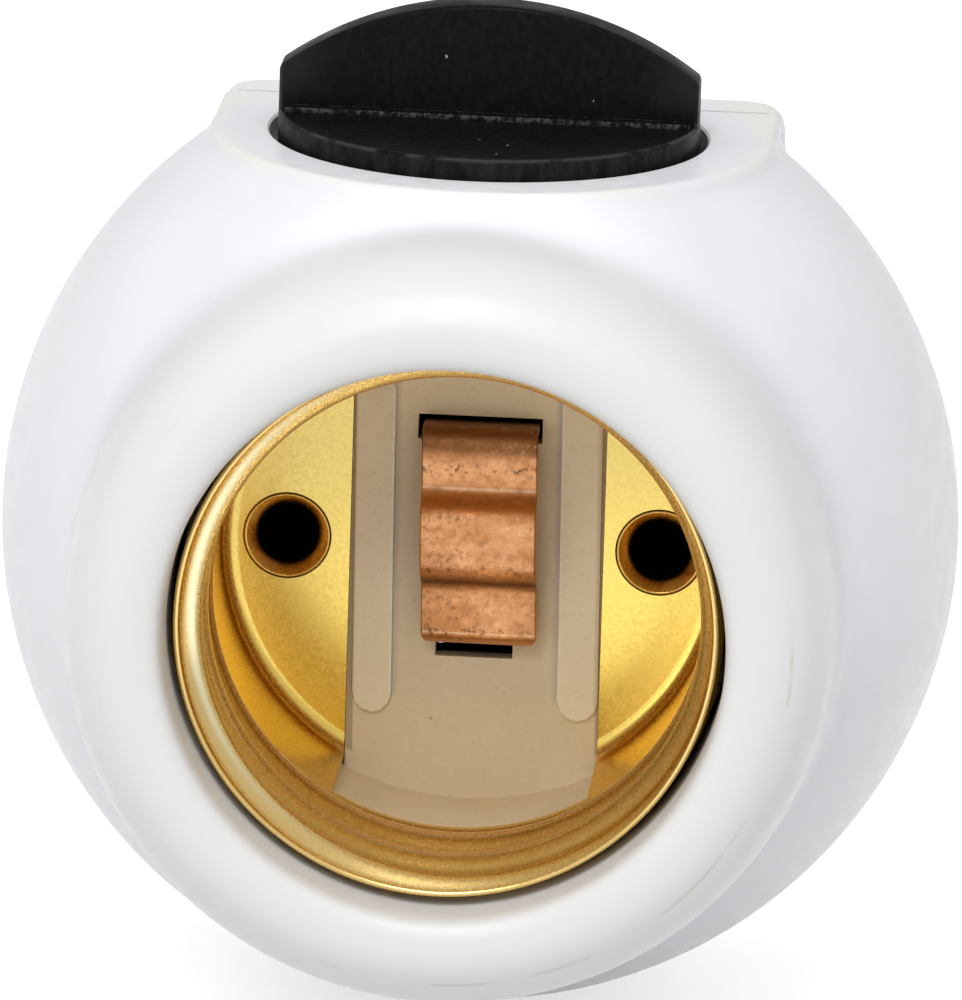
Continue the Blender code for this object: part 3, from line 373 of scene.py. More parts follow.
def bossDistance(x, depth, z):
    h = housing
    radius = h["bossRadius"] - h["bossDraft"] * (z - h["bossFoot"]) / (h["bossTop"] - h["bossFoot"])
    ahead = np.maximum(depth - h["ballDepth"], 0)
    side = np.hypot(x, ahead) - radius
    over = z - h["bossTop"]
    edge = h["bossEdge"]
    outside = np.hypot(np.maximum(side + edge, 0), np.maximum(over + edge, 0))
    block = outside + np.minimum(np.maximum(side, over) + edge, 0) - edge
    return np.maximum(block, h["bossFoot"] - z)


def housingRows(profile, angles):  # the outside as rows of points, found along rays from inside the ball
    h = housing
    radius = profile[:, :1]
    depth = profile[:, 1:]
    centre = np.minimum(depth, h["ballDepth"])
    length = np.hypot(radius, depth - centre)
    outward = radius / length
    forward = (depth - centre) / length
    nearest, farthest, halvings = 12.0, 34.0, 32
    low = np.full((len(profile), len(angles)), nearest)
    high = np.full_like(low, farthest)
    for _ in range(halvings):
        reach = (low + high) / 2
        x = reach * outward * np.cos(angles)
        z = reach * outward * np.sin(angles)
        d = centre + reach * forward
        base = np.where(depth < h["ballDepth"],
                        np.hypot(np.hypot(x, z), d - h["ballDepth"]) - h["ballRadius"], reach - length)
        boss = bossDistance(x, d, z)
        blend = h["bossBlend"]
        joined = np.minimum(base, boss) - np.maximum(blend - np.abs(base - boss), 0) ** 2 / (4 * blend)
        inside = np.maximum(joined, z - h["bossTop"]) < 0
        inside &= depth < h["bossLimit"]
        inside |= (depth >= h["bossLimit"]) & (reach < length)
        low = np.where(inside, reach, low)
        high = np.where(inside, high, reach)
    return np.stack((x, np.broadcast_to(d, x.shape), z), axis=-1)


def innerRows(profile, angles):  # turned about the lamp's axis, and kept below the boss's ceiling
    profile = np.asarray(profile, float)
    up = np.maximum(np.sin(angles), 0.001)
    radius = np.minimum(profile[:, :1], housing["ceiling"] / up)
    depth = np.broadcast_to(profile[:, 1:], radius.shape)
    return np.stack((radius * np.cos(angles), depth, radius * np.sin(angles)), axis=-1)


def wellCutter():
    h = housing
    above, below, clear = 26, 14, 0.4
    flare = h["wellRadius"] + h["wellLip"]
    profile = [(0, above), (flare + clear, above), (flare + clear, h["bossTop"] + clear),
               (flare, h["bossTop"] + 0.01), (h["wellRadius"], h["bossTop"] - h["wellLip"]),
               (h["wellRadius"], h["wellFloor"]), (h["hubHole"], h["wellFloor"]), (h["hubHole"], below),
               (0, below)]
    return turned("wellCutter", profile, 160, axis="knob", centre=(h["knobX"], h["knobDepth"]))


def makeFrontShell(material):
    h = housing
    angles = crowdedAngles()
    outside = housingRows(housingProfile(), angles)
    dome = arc((0, h["ballDepth"]), h["innerRadius"],
               -math.degrees(math.asin((h["ballDepth"] - h["seamFront"]) / h["innerRadius"])),
               math.degrees(math.acos(h["coreSeat"] / h["innerRadius"])), 30)
    inside = np.vstack((dome, [(h["coreSeat"], h["mouthStep"]), (h["mouthRadius"], h["mouthStep"])]))
    piece = gridPiece("front_shell_moulding", np.concatenate((outside, innerRows(inside, angles))))
    combine(piece, [wellCutter()])
    finishPiece(piece, material, "housing", "front_shell")


# Core

core = {
    "centreX": 0.19,
    "barFace": 17.3,
    "barDepth": 0.75,
    "cadEdges": (-7.0, -6.21, -6.06, -3.86, -3.2, 3.6, 4.24, 6.44, 6.59, 7.0),
    "seenEdges": (-7.0, -6.49, -6.24, -4.22, -3.2, 3.6, 4.60, 6.72, 6.87, 7.0),
    "still": 3.2,  # nothing nearer to the middle is moved
    "lean": 0.012,
}


def makeCore(material):  # the CAD core with its bar and ribs brought to the widths seen in the photo
    c = core
    piece = bpy.data.objects.new("socket_core_moulding", frame["nodes"]["socket_core"].data.copy())
    bpy.context.scene.collection.objects.link(piece)
    for vertex in piece.data.vertices:
        x, depth, z = vertex.co.x / mm, -vertex.co.y / mm, vertex.co.z / mm
        if depth > c["barFace"] - c["barDepth"] and c["still"] < abs(x) < c["cadEdges"][-1]:
            lean = c["lean"] * z if depth > c["barFace"] + 0.01 else 0
            vertex.co.x = (np.interp(x, c["cadEdges"], c["seenEdges"]) - lean) * mm
    finishPiece(piece, material, "housing", "socket_core")


# Screw shell

shell = {
    "sheet": 0.3,
    "radius": 13.4,
    "threadMiddle": 13.46,
    "threadSwing": 0.5,
    "pitch": 3.68,
    "crestDepth": 31.6,
    "threadStart": 25.4,
    "threadRunIn": 1.8,
    "threadEnd": 35.3,
    "threadRunOut": 1.1,
    "threadRows": 110,
    "rimFront": 36.1,
    "rimFlare": 0.9,
    "rimRadius": 14.06,
    "rimShift": 0.06,
    "rimTilt": 0.55,
    "tiltStart": 27,
    "columns": 288,
    "flapFace": 17.25,
    "flapReach": 5.5,
    "fold": 1.0,
    "windowHalf": 6.7,
    "windowFront": 25.3,
    "eyeletX": 9.83,
    "eyeletSeat": 2.34,
    "centreX": 0.19,
}


def threadRadius(depth, angles):  # the sheet's middle; crests run a quarter pitch forward each quarter turn
    s = shell
    start = np.clip((depth - s["threadStart"]) / s["threadRunIn"], 0, 1)
    start = start * start * (3 - 2 * start)
    turn = (depth - s["crestDepth"]) / s["pitch"] - (angles / math.tau - 0.75)
    share = start * np.clip((s["rimFront"] - depth) / s["threadRunOut"], 0, 1) ** 0.6
    flare = s["rimFlare"]
    rim = np.clip((depth - s["threadEnd"] + flare) / (s["rimFront"] - s["threadEnd"] + flare), 0, 1)
    base = s["radius"] + (s["threadMiddle"] - s["radius"]) * start
    base = base + (s["rimRadius"] - s["sheet"] / 2 - s["threadMiddle"]) * rim * rim * (3 - 2 * rim)
    return base - share * s["threadSwing"] * np.cos(math.tau * turn)


def makeScrewShell(material):
    s = shell
    half = s["sheet"] / 2
    flap = s["flapFace"] - half
    skirt = np.vstack((
        straight((s["flapReach"], flap), (s["radius"] - s["fold"], flap), 5)[:-1],
        arc((s["radius"] - s["fold"], flap + s["fold"]), s["fold"], -90, 0, 10),
        straight((s["radius"], flap + s["fold"] + 0.3), (s["radius"], s["threadStart"]), 12)[:-1]))
    threaded = len(skirt)
    depths = np.concatenate((skirt[:, 1], np.linspace(s["threadStart"], s["rimFront"] - half, s["threadRows"])))
    radii = np.concatenate((skirt[:, 0], np.zeros(s["threadRows"])))
    angles = np.linspace(0, math.tau, s["columns"], endpoint=False)
    depth = depths[:, None] * np.ones_like(angles)
    radius = radii[:, None] * np.ones_like(angles)
    radius[threaded:] = threadRadius(depth[threaded:], angles)
    alongDepth = np.gradient(depth, axis=0)
    alongRadius = np.gradient(radius, axis=0)
    length = np.hypot(alongDepth, alongRadius)
    outward = np.stack((alongDepth / length, -alongRadius / length))
    outer = np.stack((radius, depth)) + outward * half
    inner = np.stack((radius, depth)) - outward * half
    lip = [np.stack((radius[-1], depth[-1])) + half * np.array([[math.cos(a)], [math.sin(a)]])
           for a in np.radians(np.linspace(0, 180, 8)[1:-1])]
    profile = np.concatenate((outer, np.stack(lip, axis=1), inner[:, ::-1]), axis=1)
    shift = np.clip((profile[1] - s["threadStart"]) / 6, 0, 1) * s["rimShift"]
    sunk = np.clip((profile[1] - s["tiltStart"]) / 9, 0, 1) * s["rimTilt"] * (1 + np.sin(angles))
    piece = gridPiece("screw_shell_pressing", np.stack((
        profile[0] * np.cos(angles) + shift, profile[1] - sunk, profile[0] * np.sin(angles)), axis=-1))
    behind, above = 10, 20
    window = extruded("window", rectangle(s["centreX"] - s["windowHalf"], s["centreX"] + s["windowHalf"],
                                          -above, above), behind, s["windowFront"], "lamp")
    hole = [(0, behind), (s["eyeletSeat"], behind), (s["eyeletSeat"], above), (0, above)]
    holes = [turned("flapHole", hole, 64, centre=(side * s["eyeletX"], 0)) for side in (-1, 1)]
    combine(piece, [window, *holes])
    finishPiece(piece, material, "housing", "screw_shell")


# Eyelets

eyelet = {
    "hole": 1.44,
    "dish": 2.3,
    "seat": 17.27,
    "sink": 0.62,
    "outer": 1.85,
    "flange": 0.3,
    "backs": {"eyelet_left": 13.75, "eyelet_right": 14.3},
}


def makeEyelets(material):
    e = eyelet
    for (name, back), side in zip(e["backs"].items(), (-1, 1)):
        profile = np.vstack((
            [(e["hole"], back - e["flange"])],
            arc((e["hole"] + 0.25, e["seat"] - e["sink"] - 0.2), 0.25, 180, 130, 5),
            arc((e["dish"] - 0.1, e["seat"] - 0.06), 0.1, 130, 0, 7),
            [(e["dish"], e["seat"] - 0.35), (e["outer"], e["seat"] - 0.6), (e["outer"], back),
             (e["dish"], back), (e["dish"], back - e["flange"])]))
        piece = turned(name + "_rivet", profile, 72, closedRows=True, centre=(side * shell["eyeletX"], 0))
        finishPiece(piece, material, "housing", name)


# Centre contact

contact = {
    "sheet": 0.42,
    "corner": 0.09,
    "width": 6.08,
    "centreX": 0.3,
    "lean": 0.25,
    "face": 19.3,
    "rise": 1.05,
    "top": 6.6,
    "raisedFrom": 2.3,
    "raisedTo": -0.85,
    "foot": -5.05,
    "tail": 13.9,
    "tailTop": 1.3,
    "tabEnd": -7.0,
    "tabWidth": 3.5,
    "tabHalfBehind": 2.7,  # wider behind the core's floor, across the view to the wire inlet
    "lipRound": 0.45,
    "bend": 0.26,
}


def makeCentreContact(material):
    c = contact
    middle = c["face"] - c["sheet"] / 2
    raised = middle + c["rise"]
    tail = c["tail"] + c["sheet"] / 2
    low = c["foot"] + c["sheet"] / 2
    path = roundedPath([
        (tail, c["tailTop"]), (tail, c["top"]), (middle, c["top"] - 0.1), (middle, c["raisedFrom"] + 0.98),
        (raised, c["raisedFrom"]), (raised, c["raisedTo"]), (middle, c["raisedTo"] - 0.77),
        (middle, low + 0.3), (middle - 0.35, low), (tail + 0.1, low), (tail, c["tabEnd"])], c["bend"] * 2, 6)
    slope = np.gradient(path, axis=0)
    slope /= np.linalg.norm(slope, axis=1, keepdims=True)
    across = np.column_stack((-slope[:, 1], slope[:, 0]))
    corner = c["corner"]
    section = []
    for cx, cy, start in ((1, 1, 0), (-1, 1, 90), (-1, -1, 180), (1, -1, 270)):
        for angle in np.radians(np.linspace(start, start + 90, 4)):
            section.append((cx, corner * (math.cos(angle) - cx),
                            cy * (c["sheet"] / 2 - corner) + corner * math.sin(angle)))
    rows = []
    for (depth, z), (nd, nz) in zip(path, across):
        behind = min(max(middle - depth - 0.25, 0) / 0.4, 1) if z < 0 else 0.0
        half = (c["width"] * (1 - behind) + c["tabWidth"] * behind) / 2
        if z < 0 and depth < tail + 0.3:
            half = c["tabHalfBehind"]
        rounded = min(max(low + c["lipRound"] - z, 0), c["lipRound"])
        if rounded:
            half -= c["lipRound"] - math.sqrt(max(c["lipRound"] ** 2 - rounded ** 2, 0))
        centre = c["centreX"] + c["lean"] * (c["top"] - z) / (c["top"] - c["foot"])
        rows.append([(centre + cx * half + dx, depth + nd * away, z + nz * away) for cx, dx, away in section])
    rows = np.array(rows)
    ends = [np.repeat(row.mean(axis=0, keepdims=True), len(row), axis=0) for row in (rows[0], rows[-1])]
    piece = gridPiece("centre_contact_strip", np.concatenate(([ends[0]], rows, [ends[1]])), closedRows=False)
    finishPiece(piece, material, "housing", "centre_contact", angle=50)


# Knob

knob = {
    "radius": 11.1,
    "top": 22.2,
    "bottom": 19.9,
    "edge": 0.28,
    "hub": 2.3,
    "hubBottom": 18.3,
    "bore": 1.5,
    "boreTop": 21.0,
    "finTop": 28.2,
    "finShoulder": 24.5,
    "finHalf": 11.05,
    "finThickness": 2.4,
    "finEdge": 0.25,
    "finCorner": 0.5,
    "footHalf": 2.0,
    "footHeight": 0.28,
    "footEdge": 0.1,
}


def finOutline():  # a shallow crown that runs into a small round at each shoulder
    k = knob
    rise = k["finTop"] - k["finShoulder"]
    crownRadius = (k["finHalf"] ** 2 + rise ** 2) / (2 * rise)
    middle = k["finTop"] - crownRadius
    across = k["finHalf"] - k["finCorner"]
    inner = crownRadius - k["finCorner"]
    lean = math.asin(across / inner)
    reach = math.degrees(lean)
    corner = arc((across, middle + inner * math.cos(lean)), k["finCorner"], 0, 90 - reach, 7)
    crown = arc((0, middle), crownRadius, 90 - reach, 90 + reach, 48)[1:-1]
    sunk = k["bottom"] + 1
    return np.vstack((corner, crown, (corner * (-1, 1))[::-1], [(-k["finHalf"], sunk), (k["finHalf"], sunk)]))


def makeKnob(material):
    k = knob
    x, depth = housing["knobX"], housing["knobDepth"]
    disc = turned("knob_moulding", np.vstack((
        [(0, k["top"]), (k["radius"] * 0.5, k["top"])],
        arc((k["radius"] - k["edge"], k["top"] - k["edge"]), k["edge"], 90, 0, 5),
        [(k["radius"], k["bottom"]), (k["hub"], k["bottom"]), (k["hub"], k["hubBottom"]),
         (k["bore"], k["hubBottom"]), (k["bore"], k["boreTop"]), (0, k["boreTop"])])),
        160, axis="knob", centre=(x, depth))
    half = k["finThickness"] / 2
    fin = bevel(extruded("fin", finOutline() + (x, 0), depth - half, depth + half, "lamp"), k["finEdge"], 3)
    long = math.sqrt(k["radius"] ** 2 - k["footHalf"] ** 2) - k["edge"]
    plan = rectangle(x - long, x + long, depth - k["footHalf"], depth + k["footHalf"])
    foot = bevel(extruded("foot", plan, k["bottom"] + 1, k["top"] + k["footHeight"]), k["footEdge"], 2)
    combine(disc, [fin, foot], "UNION")
    finishPiece(disc, material, "switch_rotor", "knob", angle=30)


# Finishes

whitePlastic = {
    "tones": ((0.81, 0.82, 0.85), (0.85, 0.86, 0.885)),
    # painted shade on the collar
    "collar": (0.785, 0.79, 0.785),
    # painted light under the boss
    "paintedLightUnderBoss": (0.95, 0.955, 0.98),
    # a yellowish tint along the boss's top rim
    "rimTint": (0.84, 0.81, 0.68),
    "partingLine": (0.55, 0.52, 0.44),
    "partingRadius": 17.9,
    "dirt": (0.28, 0.27, 0.26),
}


def whiteFinish():
    c = whitePlastic
    f = Finish("white plastic", IOR=1.48)
    x, depth, z = f.axes()
    radius = f.hypotenuse(x, z)
    tone = f.mix(f.fade(f.noise(70, 4, 0.6), 0.35, 0.7), *c["tones"])
    # painted shade: the collar is painted darker and less blue than the ball
    tone = f.mix(f.fade(depth, 29.5, 33.0), tone, c["collar"])
    # painted light: the ball's front top under the boss is painted brighter
    paintedLightUnderBoss = f.line(depth, 28.0, 3.5) * f.fade(z, 10.0, 16.0) * f.fall(abs(x), 5.0, 14.0)
    tone = f.mix(paintedLightUnderBoss, tone, c["paintedLightUnderBoss"])
    # a yellowish tint painted along the boss's top rim, stronger at the sides and broken by noise
    rimTintBand = f.line(z, housing["bossTop"] - 0.05, 0.55) * f.fade(abs(x), 2.0, 9.0, 0.25, 1.0)
    rimTintBand = rimTintBand * f.fade(f.noise(260, 3), 0.35, 0.7)
    rimTintBand = rimTintBand * f.fade(f.hypotenuse(x, depth - housing["ballDepth"] - 0.1), 13.6, 14.6)
    tone = f.mix(rimTintBand * 0.55, tone, c["rimTint"])
    parting = f.line(radius, c["partingRadius"], 0.16) * f.fade(depth, 38.2, 38.8)
    parting = parting * f.fade(f.noise(330, 3), 0.46, 0.6)
    parting = parting * f.fade(z - x * 0.8, -14.0, -8.0, 1.0, 0.1)  # only at the lower right
    tone = f.mix(parting * 0.45, tone, c["partingLine"])
    dirt = f.specks(330, 0.06, 0.035).either(f.specks(170, 0.04, 0.12) * 0.6)
    tone = f.mix(dirt * 0.7, tone, c["dirt"])
    # painted shade: plain black deep in the bore, inside the ball and in the screw holes
    seat, inner = housing["coreSeat"], housing["innerRadius"]
    shadeInBore = f.fall(radius, seat + 0.2, seat + 0.4) * f.fall(depth, 30.0, 33.5) * f.fade(depth, 24.0, 26.0)
    fromMiddle = f.hypotenuse(radius, depth - housing["ballDepth"])
    shadeInBall = f.fall(fromMiddle, inner + 0.15, inner + 0.35) * f.fade(depth, 1.2, 2.2)
    f.paintShade(f.shadeInHoles(x, depth, z, 16.0).either(shadeInBall).either(shadeInBore))
    f.feed("Base Color", tone)
    f.feed("Roughness", f.fade(f.noise(900, 3), 0.3, 0.7, 0.3, 0.42))
    fine = f.bump(f.noise(2200, 4, 0.6), 0.01, 0.5)
    f.feed("Normal", f.bump(f.noise(180, 2), 0.05, 0.25, fine))
    return f.material


blackPlastic = {
    "tones": ((0.004, 0.004, 0.0035), (0.009, 0.009, 0.008)),
    # painted sheen on the knob disc's side, with draw marks
    "sideSheenTones": ((0.006, 0.006, 0.006), (0.019, 0.019, 0.018)),
    # painted edge highlights
    "edgeHighlight": (0.10, 0.10, 0.095),
    # painted sheen on the fin's ends
    "finEndSheen": (0.022, 0.022, 0.02),
    "dust": (0.4, 0.4, 0.4),
}


def blackFinish():
    c = blackPlastic
    k = knob
    f = Finish("black plastic", IOR=1.5, Specular_IOR_Level=0.06)
    x, depth, z = f.axes()
    grain = f.noise(2400, 4, 0.65, f.stretched(1, 1, 0.6))
    tone = f.mix(f.fade(grain, 0.35, 0.75), *c["tones"])
    across = x - housing["knobX"]
    ahead = depth - housing["knobDepth"]
    reach = f.hypotenuse(across, ahead)
    # painted sheen: the knob disc's side is painted lighter, with real draw marks in it
    side = f.fade(reach, k["radius"] - 0.2, k["radius"] - 0.05) * f.fall(z, k["top"] - 0.2, k["top"] - 0.08)
    marks = f.noise(1500, 4, 0.7, f.stretched(1, 1, 0.3))
    tone = f.mix(side, tone, f.mix(f.fade(marks, 0.35, 0.7), *c["sideSheenTones"]))
    # painted highlights: light lines along the disc's top edge and the foot's edges, broken by noise
    edge = f.line(reach, k["radius"] - 0.1, 0.12) * f.fade(z, k["top"] - 0.3, k["top"] - 0.15)
    edge = edge * f.fade(f.noise(600, 3), 0.38, 0.55)
    finFace = k["finThickness"] / 2 + 0.1
    foot = f.line(abs(ahead), k["footHalf"], 0.1).either(f.line(abs(ahead), finFace, 0.1))
    foot = foot * f.line(z, k["top"] + 0.2, 0.35) * f.fade(f.noise(3400, 4, 0.7), 0.44, 0.6)
    tone = f.mix((edge * 0.4).either(foot * 0.75), tone, c["edgeHighlight"])
    # painted sheen: the fin's ends are painted lighter
    ends = f.fade(abs(across), 7.5, k["radius"] - 0.2) * f.fade(z, k["top"] + 0.4, k["top"] + 1.8)
    tone = f.mix(ends * 0.6, tone, c["finEndSheen"])
    dust = f.specks(900, 0.1, 0.05).either(f.specks(520, 0.06, 0.1))
    tone = f.mix(dust * 0.8, tone, c["dust"])
    f.feed("Base Color", tone)
    f.feed("Roughness", f.fade(f.noise(500, 3), 0.3, 0.7, 0.32, 0.5))
    f.feed("Normal", f.bump(grain, 0.03, 0.4))
    return f.material


beigePlastic = {
    "tones": ((0.80, 0.67, 0.46), (0.86, 0.73, 0.51)),
    # painted reflection beside the copper strip
    "stripReflection": (0.68, 0.64, 0.55),
    # painted light towards the core's top
    "top": (1.0, 0.88, 0.64),
    # the ribs are painted lighter; their edges carry painted highlight, shade and shadow
    "rib": (0.95, 0.84, 0.62),
    "ribEdgeHighlight": (1.0, 0.97, 0.86),
    "ribShade": (0.55, 0.44, 0.28),
    "barEdgeShadow": (0.42, 0.33, 0.20),
    "ribInnerShade": (0.50, 0.46, 0.40),
    "grain": (0.46, 0.36, 0.24),
    "dirt": (0.1, 0.06, 0.03),
    "ribInside": 4.43,
    "ribOutside": 6.45,
    "ribFoot": -8.6,
}


def beigeFinish():
    c = beigePlastic
    f = Finish("beige insulator", IOR=1.5)
    x, depth, z = f.axes()
    tone = f.mix(f.fade(f.noise(160, 4, 0.6), 0.35, 0.7), *c["tones"])
    aside = abs(x - core["centreX"] + z * core["lean"])
    # painted reflection: the bar face near the copper strip is painted greyer
    stripReflection = f.fade(aside, 3.4, 4.4, 1.0, 0.3) * f.fall(abs(z), 7.0, 10.0)
    tone = f.mix(stripReflection * 0.2, tone, c["stripReflection"])
    # painted light: the core is painted lighter towards the top
    tone = f.mix(f.fade(z, 4.0, 9.0) * 0.9, tone, c["top"])
    face = core["barFace"]
    onBar = f.fall(f.hypotenuse(x, z), 13.0, 13.2) * f.fade(depth, face - 0.05, face - 0.02)
    onRib = onBar * f.fade(depth, face + 0.05, face + 0.2)
    besideRib = onBar * (1 - onRib)
    inside, outside = c["ribInside"], c["ribOutside"]
    # the ribs are painted lighter than the face between them, with a painted highlight along each rib's inner
    # edge, painted shade towards its outer edge, a painted shadow on the face beside its outer edge and a painted
    # shade line beside its inner edge
    tone = f.mix(onRib, tone, c["rib"])
    tone = f.mix(onRib * f.line(aside, inside, 0.14) * 0.8, tone, c["ribEdgeHighlight"])
    tone = f.mix(onRib * f.fade(aside, outside - 0.2, outside + 0.05, 0.0, 0.6), tone, c["ribShade"])
    tone = f.mix(besideRib * f.fade(aside, outside - 0.07, outside) * 0.8, tone, c["barEdgeShadow"])
    ribInnerShade = besideRib * f.line(aside, inside - 0.13, 0.35) * f.fade(z, c["ribFoot"], c["ribFoot"] + 0.4)
    tone = f.mix(ribInnerShade * 0.45, tone, c["ribInnerShade"])
    grain = f.noise(3200, 4, 0.7)
    tone = f.mix(f.fade(grain, 0.52, 0.75) * 0.2, tone, c["grain"])
    dirt = f.specks(420, 0.07, 0.1).either(f.specks(1100, 0.12, 0.03) * 0.6)
    tone = f.mix(dirt * 0.85, tone, c["dirt"])
    # painted shade: plain black in the screw holes and on the core deeper than 16 mm
    f.paintShade(f.shadeInHoles(x, depth, z, 16.5).either(f.fall(depth, 16.0, 16.55)))
    f.feed("Base Color", tone)
    f.feed("Roughness", f.fade(grain, 0.3, 0.7, 0.42, 0.6))
    f.feed("Normal", f.bump(f.noise(1500, 3, 0.6), 0.012, 0.4))
    return f.material


pressedBrass = {
    "tones": ((0.88, 0.65, 0.28), (0.95, 0.74, 0.36)),
    "reflection": (0.95, 0.72, 0.36, 1.0),
    # painted light and shade across the flaps
    "flapShadeTones": ((1.0, 0.74, 0.17), (0.63, 0.48, 0.15)),
    # painted shade in the fold
    "fold": (0.72, 0.42, 0.08),
    "skirt": (0.80, 0.62, 0.28),
    # painted light: threads lighter to the right
    "threadLitTones": ((0.68, 0.44, 0.13), (0.95, 0.70, 0.30)),
    # painted shade in the thread's valleys and painted highlights on its crests
    "valleyShade": (0.36, 0.20, 0.04),
    "crestHighlight": (1.0, 0.90, 0.56),
    "rim": (0.84, 0.58, 0.21),
    # painted shade in the eyelet dishes
    "dishShadeTones": ((0.28, 0.13, 0.03), (0.72, 0.44, 0.12)),
    "dishEdgeShade": (0.42, 0.28, 0.09),
}


def brassFinish():
    c = pressedBrass
    s = shell
    f = Finish("pressed brass", Metallic=1.0, Specular_Tint=c["reflection"])
    x, depth, z = f.axes()
    grain = f.noise(5200, 4, 0.65)
    tone = f.mix(f.fade(grain, 0.3, 0.7), *c["tones"])
    # painted light and shade: the flaps are painted bright gold at the bottom and darker towards the top and the
    # left
    flapShadeTone = f.mix(f.fade(z + x * -0.15, -8.0, 7.0), *c["flapShadeTones"])
    tone = f.mix(f.fall(depth, s["flapFace"] + 0.05, s["flapFace"] + 0.35), tone, flapShadeTone)
    # painted shade in the fold's crease
    foldTop = s["flapFace"] + 1.35
    fold = f.line(f.hypotenuse(x, z), s["radius"] - 0.4, 0.8) * f.fall(depth, foldTop, foldTop + 0.8)
    tone = f.mix(fold * 0.4, tone, c["fold"])
    start, end = s["threadStart"], s["threadEnd"]
    skirt = f.fade(depth, foldTop, foldTop + 1.2) * f.fall(depth, start - 0.4, start + 1.6)
    tone = f.mix(skirt * 0.5, tone, c["skirt"])
    rough = f.fade(depth, start + 0.6, start + 2.6)
    around = z.maths("ARCTAN2", x) * (1 / math.tau) + 0.25
    turn = (depth - s["crestDepth"]) * (1 / s["pitch"]) - around
    wave = (turn * math.tau).maths("COSINE")
    onThread = rough * f.fall(depth, end - 0.5, end + 0.1)
    # painted light: the threads are painted darker on the left and lighter on the right
    tone = f.mix(onThread, tone, f.mix(f.fade(x, 0.0, 12.0), *c["threadLitTones"]))
    # painted shade in the thread's valleys and painted highlights on its crests
    tone = f.mix(onThread * f.fade(wave, -0.9, -0.1, 0.8, 0.0), tone, c["valleyShade"])
    tone = f.mix(onThread * f.fade(wave, 0.5, 0.9), tone, c["crestHighlight"])
    tone = f.mix(f.fade(depth, end - 0.4, end + 0.2) * 0.85, tone, c["rim"])
    # painted shade in the eyelet dishes: darker towards the hole, with a darker line at the dish's edge
    aside = f.hypotenuse(abs(x) - s["eyeletX"], z)
    dish = f.mix(f.fade(aside, eyelet["hole"] + 0.06, eyelet["hole"] + 0.66), *c["dishShadeTones"])
    dish = f.mix(f.line(aside, eyelet["dish"] - 0.02, 0.12), dish, c["dishEdgeShade"])
    tone = f.mix(f.fall(aside, s["eyeletSeat"] - 0.01, s["eyeletSeat"] + 0.02), tone, dish)
    # painted shade: plain black deep in the eyelet holes
    f.paintShade(f.shadeInHoles(x, depth, z, 16.7))
    f.feed("Base Color", tone)
    f.feed("Roughness", f.fade(grain, 0.3, 0.7, 0.2, 0.3))
    f.feed("Normal", f.bump(f.noise(5600, 3, 0.6) * rough, 0.006, 0.4))
    return f.material


copperStrip = {
    "tones": ((0.64, 0.29, 0.115), (0.80, 0.42, 0.21)),
    # step, groove and bend are painted shade
    "step": (0.62, 0.20, 0.035),
    "groove": (0.17, 0.12, 0.08),
    "bend": (0.22, 0.09, 0.03),
    # painted highlights and the painted shade line under the lip
    "lipHighlight": (0.98, 0.68, 0.42),
    "lipShade": (0.38, 0.18, 0.07),
    "stepHighlight": (0.98, 0.70, 0.46),
    "tarnish": (0.36, 0.17, 0.075),
    "pits": (0.22, 0.11, 0.05),
    # painted glints
    "paintedGlints": (0.98, 0.66, 0.40),
}


def copperFinish():
    c = copperStrip
    top, foot = contact["top"], contact["foot"]
    step, groove = contact["raisedFrom"], contact["raisedTo"]
    f = Finish("copper strip", Metallic=1.0)
    x, depth, z = f.axes()
    streak = f.noise(900, 5, 0.65, f.stretched(0.35, 1, 1))
    tone = f.mix(f.fade(streak, 0.3, 0.7), *c["tones"])
    front = f.fade(depth, contact["face"] - 0.7, contact["face"] - 0.4)
    # painted shade: dark bands on the steps between the flats, on the groove and on the top bend
    tone = f.mix(f.line(z, step + 0.5, 0.75) * front * 0.75, tone, c["step"])
    tone = f.mix(f.line(z, groove - 0.65, 0.55) * front * 0.8, tone, c["groove"])
    tone = f.mix(f.fade(z, top - 1.7, top - 0.9) * 0.92, tone, c["bend"])
    # painted highlights along the foot's lip and above the step, with a painted shade line under the lip highlight
    tone = f.mix(f.line(z, foot + 0.7, 0.12) * 0.7, tone, c["lipHighlight"])
    tone = f.mix(f.line(z, foot + 0.43, 0.16) * 0.6, tone, c["lipShade"])
    tone = f.mix(f.line(z, step + 1.2, 0.14) * 0.6, tone, c["stepHighlight"])
    tone = f.mix(f.fade(f.noise(1300, 5, 0.7), 0.52, 0.68) * 0.5, tone, c["tarnish"])
    leftHalf = f.fade(x, -0.8, 1.2, 1.0, 0.2) * f.fall(z, step - 0.1, step + 0.3)
    edges = f.line(z, groove + 0.15, 0.55).either(f.line(z, top - 2.1, 0.6)).either(f.line(z, foot + 0.75, 0.5))
    pits = f.fade(f.noise(3600, 4, 0.6), 0.54, 0.62) * (leftHalf * 0.55).either(edges)
    tone = f.mix(pits * 0.85, tone, c["pits"])
    # painted glints, broken by noise, on the strip's right half
    paintedGlints = f.fade(f.noise(2800, 3, 0.6), 0.56, 0.7) * f.fade(x, -0.5, 1.5)
    tone = f.mix(paintedGlints * 0.25, tone, c["paintedGlints"])
    # painted shade: plain black on the strip inside the slot, behind the bar's face
    f.paintShade(f.fall(depth, core["barFace"] - 0.1, core["barFace"] + 0.9) * f.fade(abs(z), 4.0, 4.3))
    f.feed("Base Color", tone)
    f.feed("Roughness", f.fade(f.noise(2000, 4, 0.7), 0.3, 0.7, 0.34, 0.55))
    f.feed("Normal", f.bump(f.noise(3000, 4, 0.65), 0.03, 0.6))
    return f.material


platedSteel = {"tones": ((0.50, 0.50, 0.52), (0.62, 0.62, 0.63))}


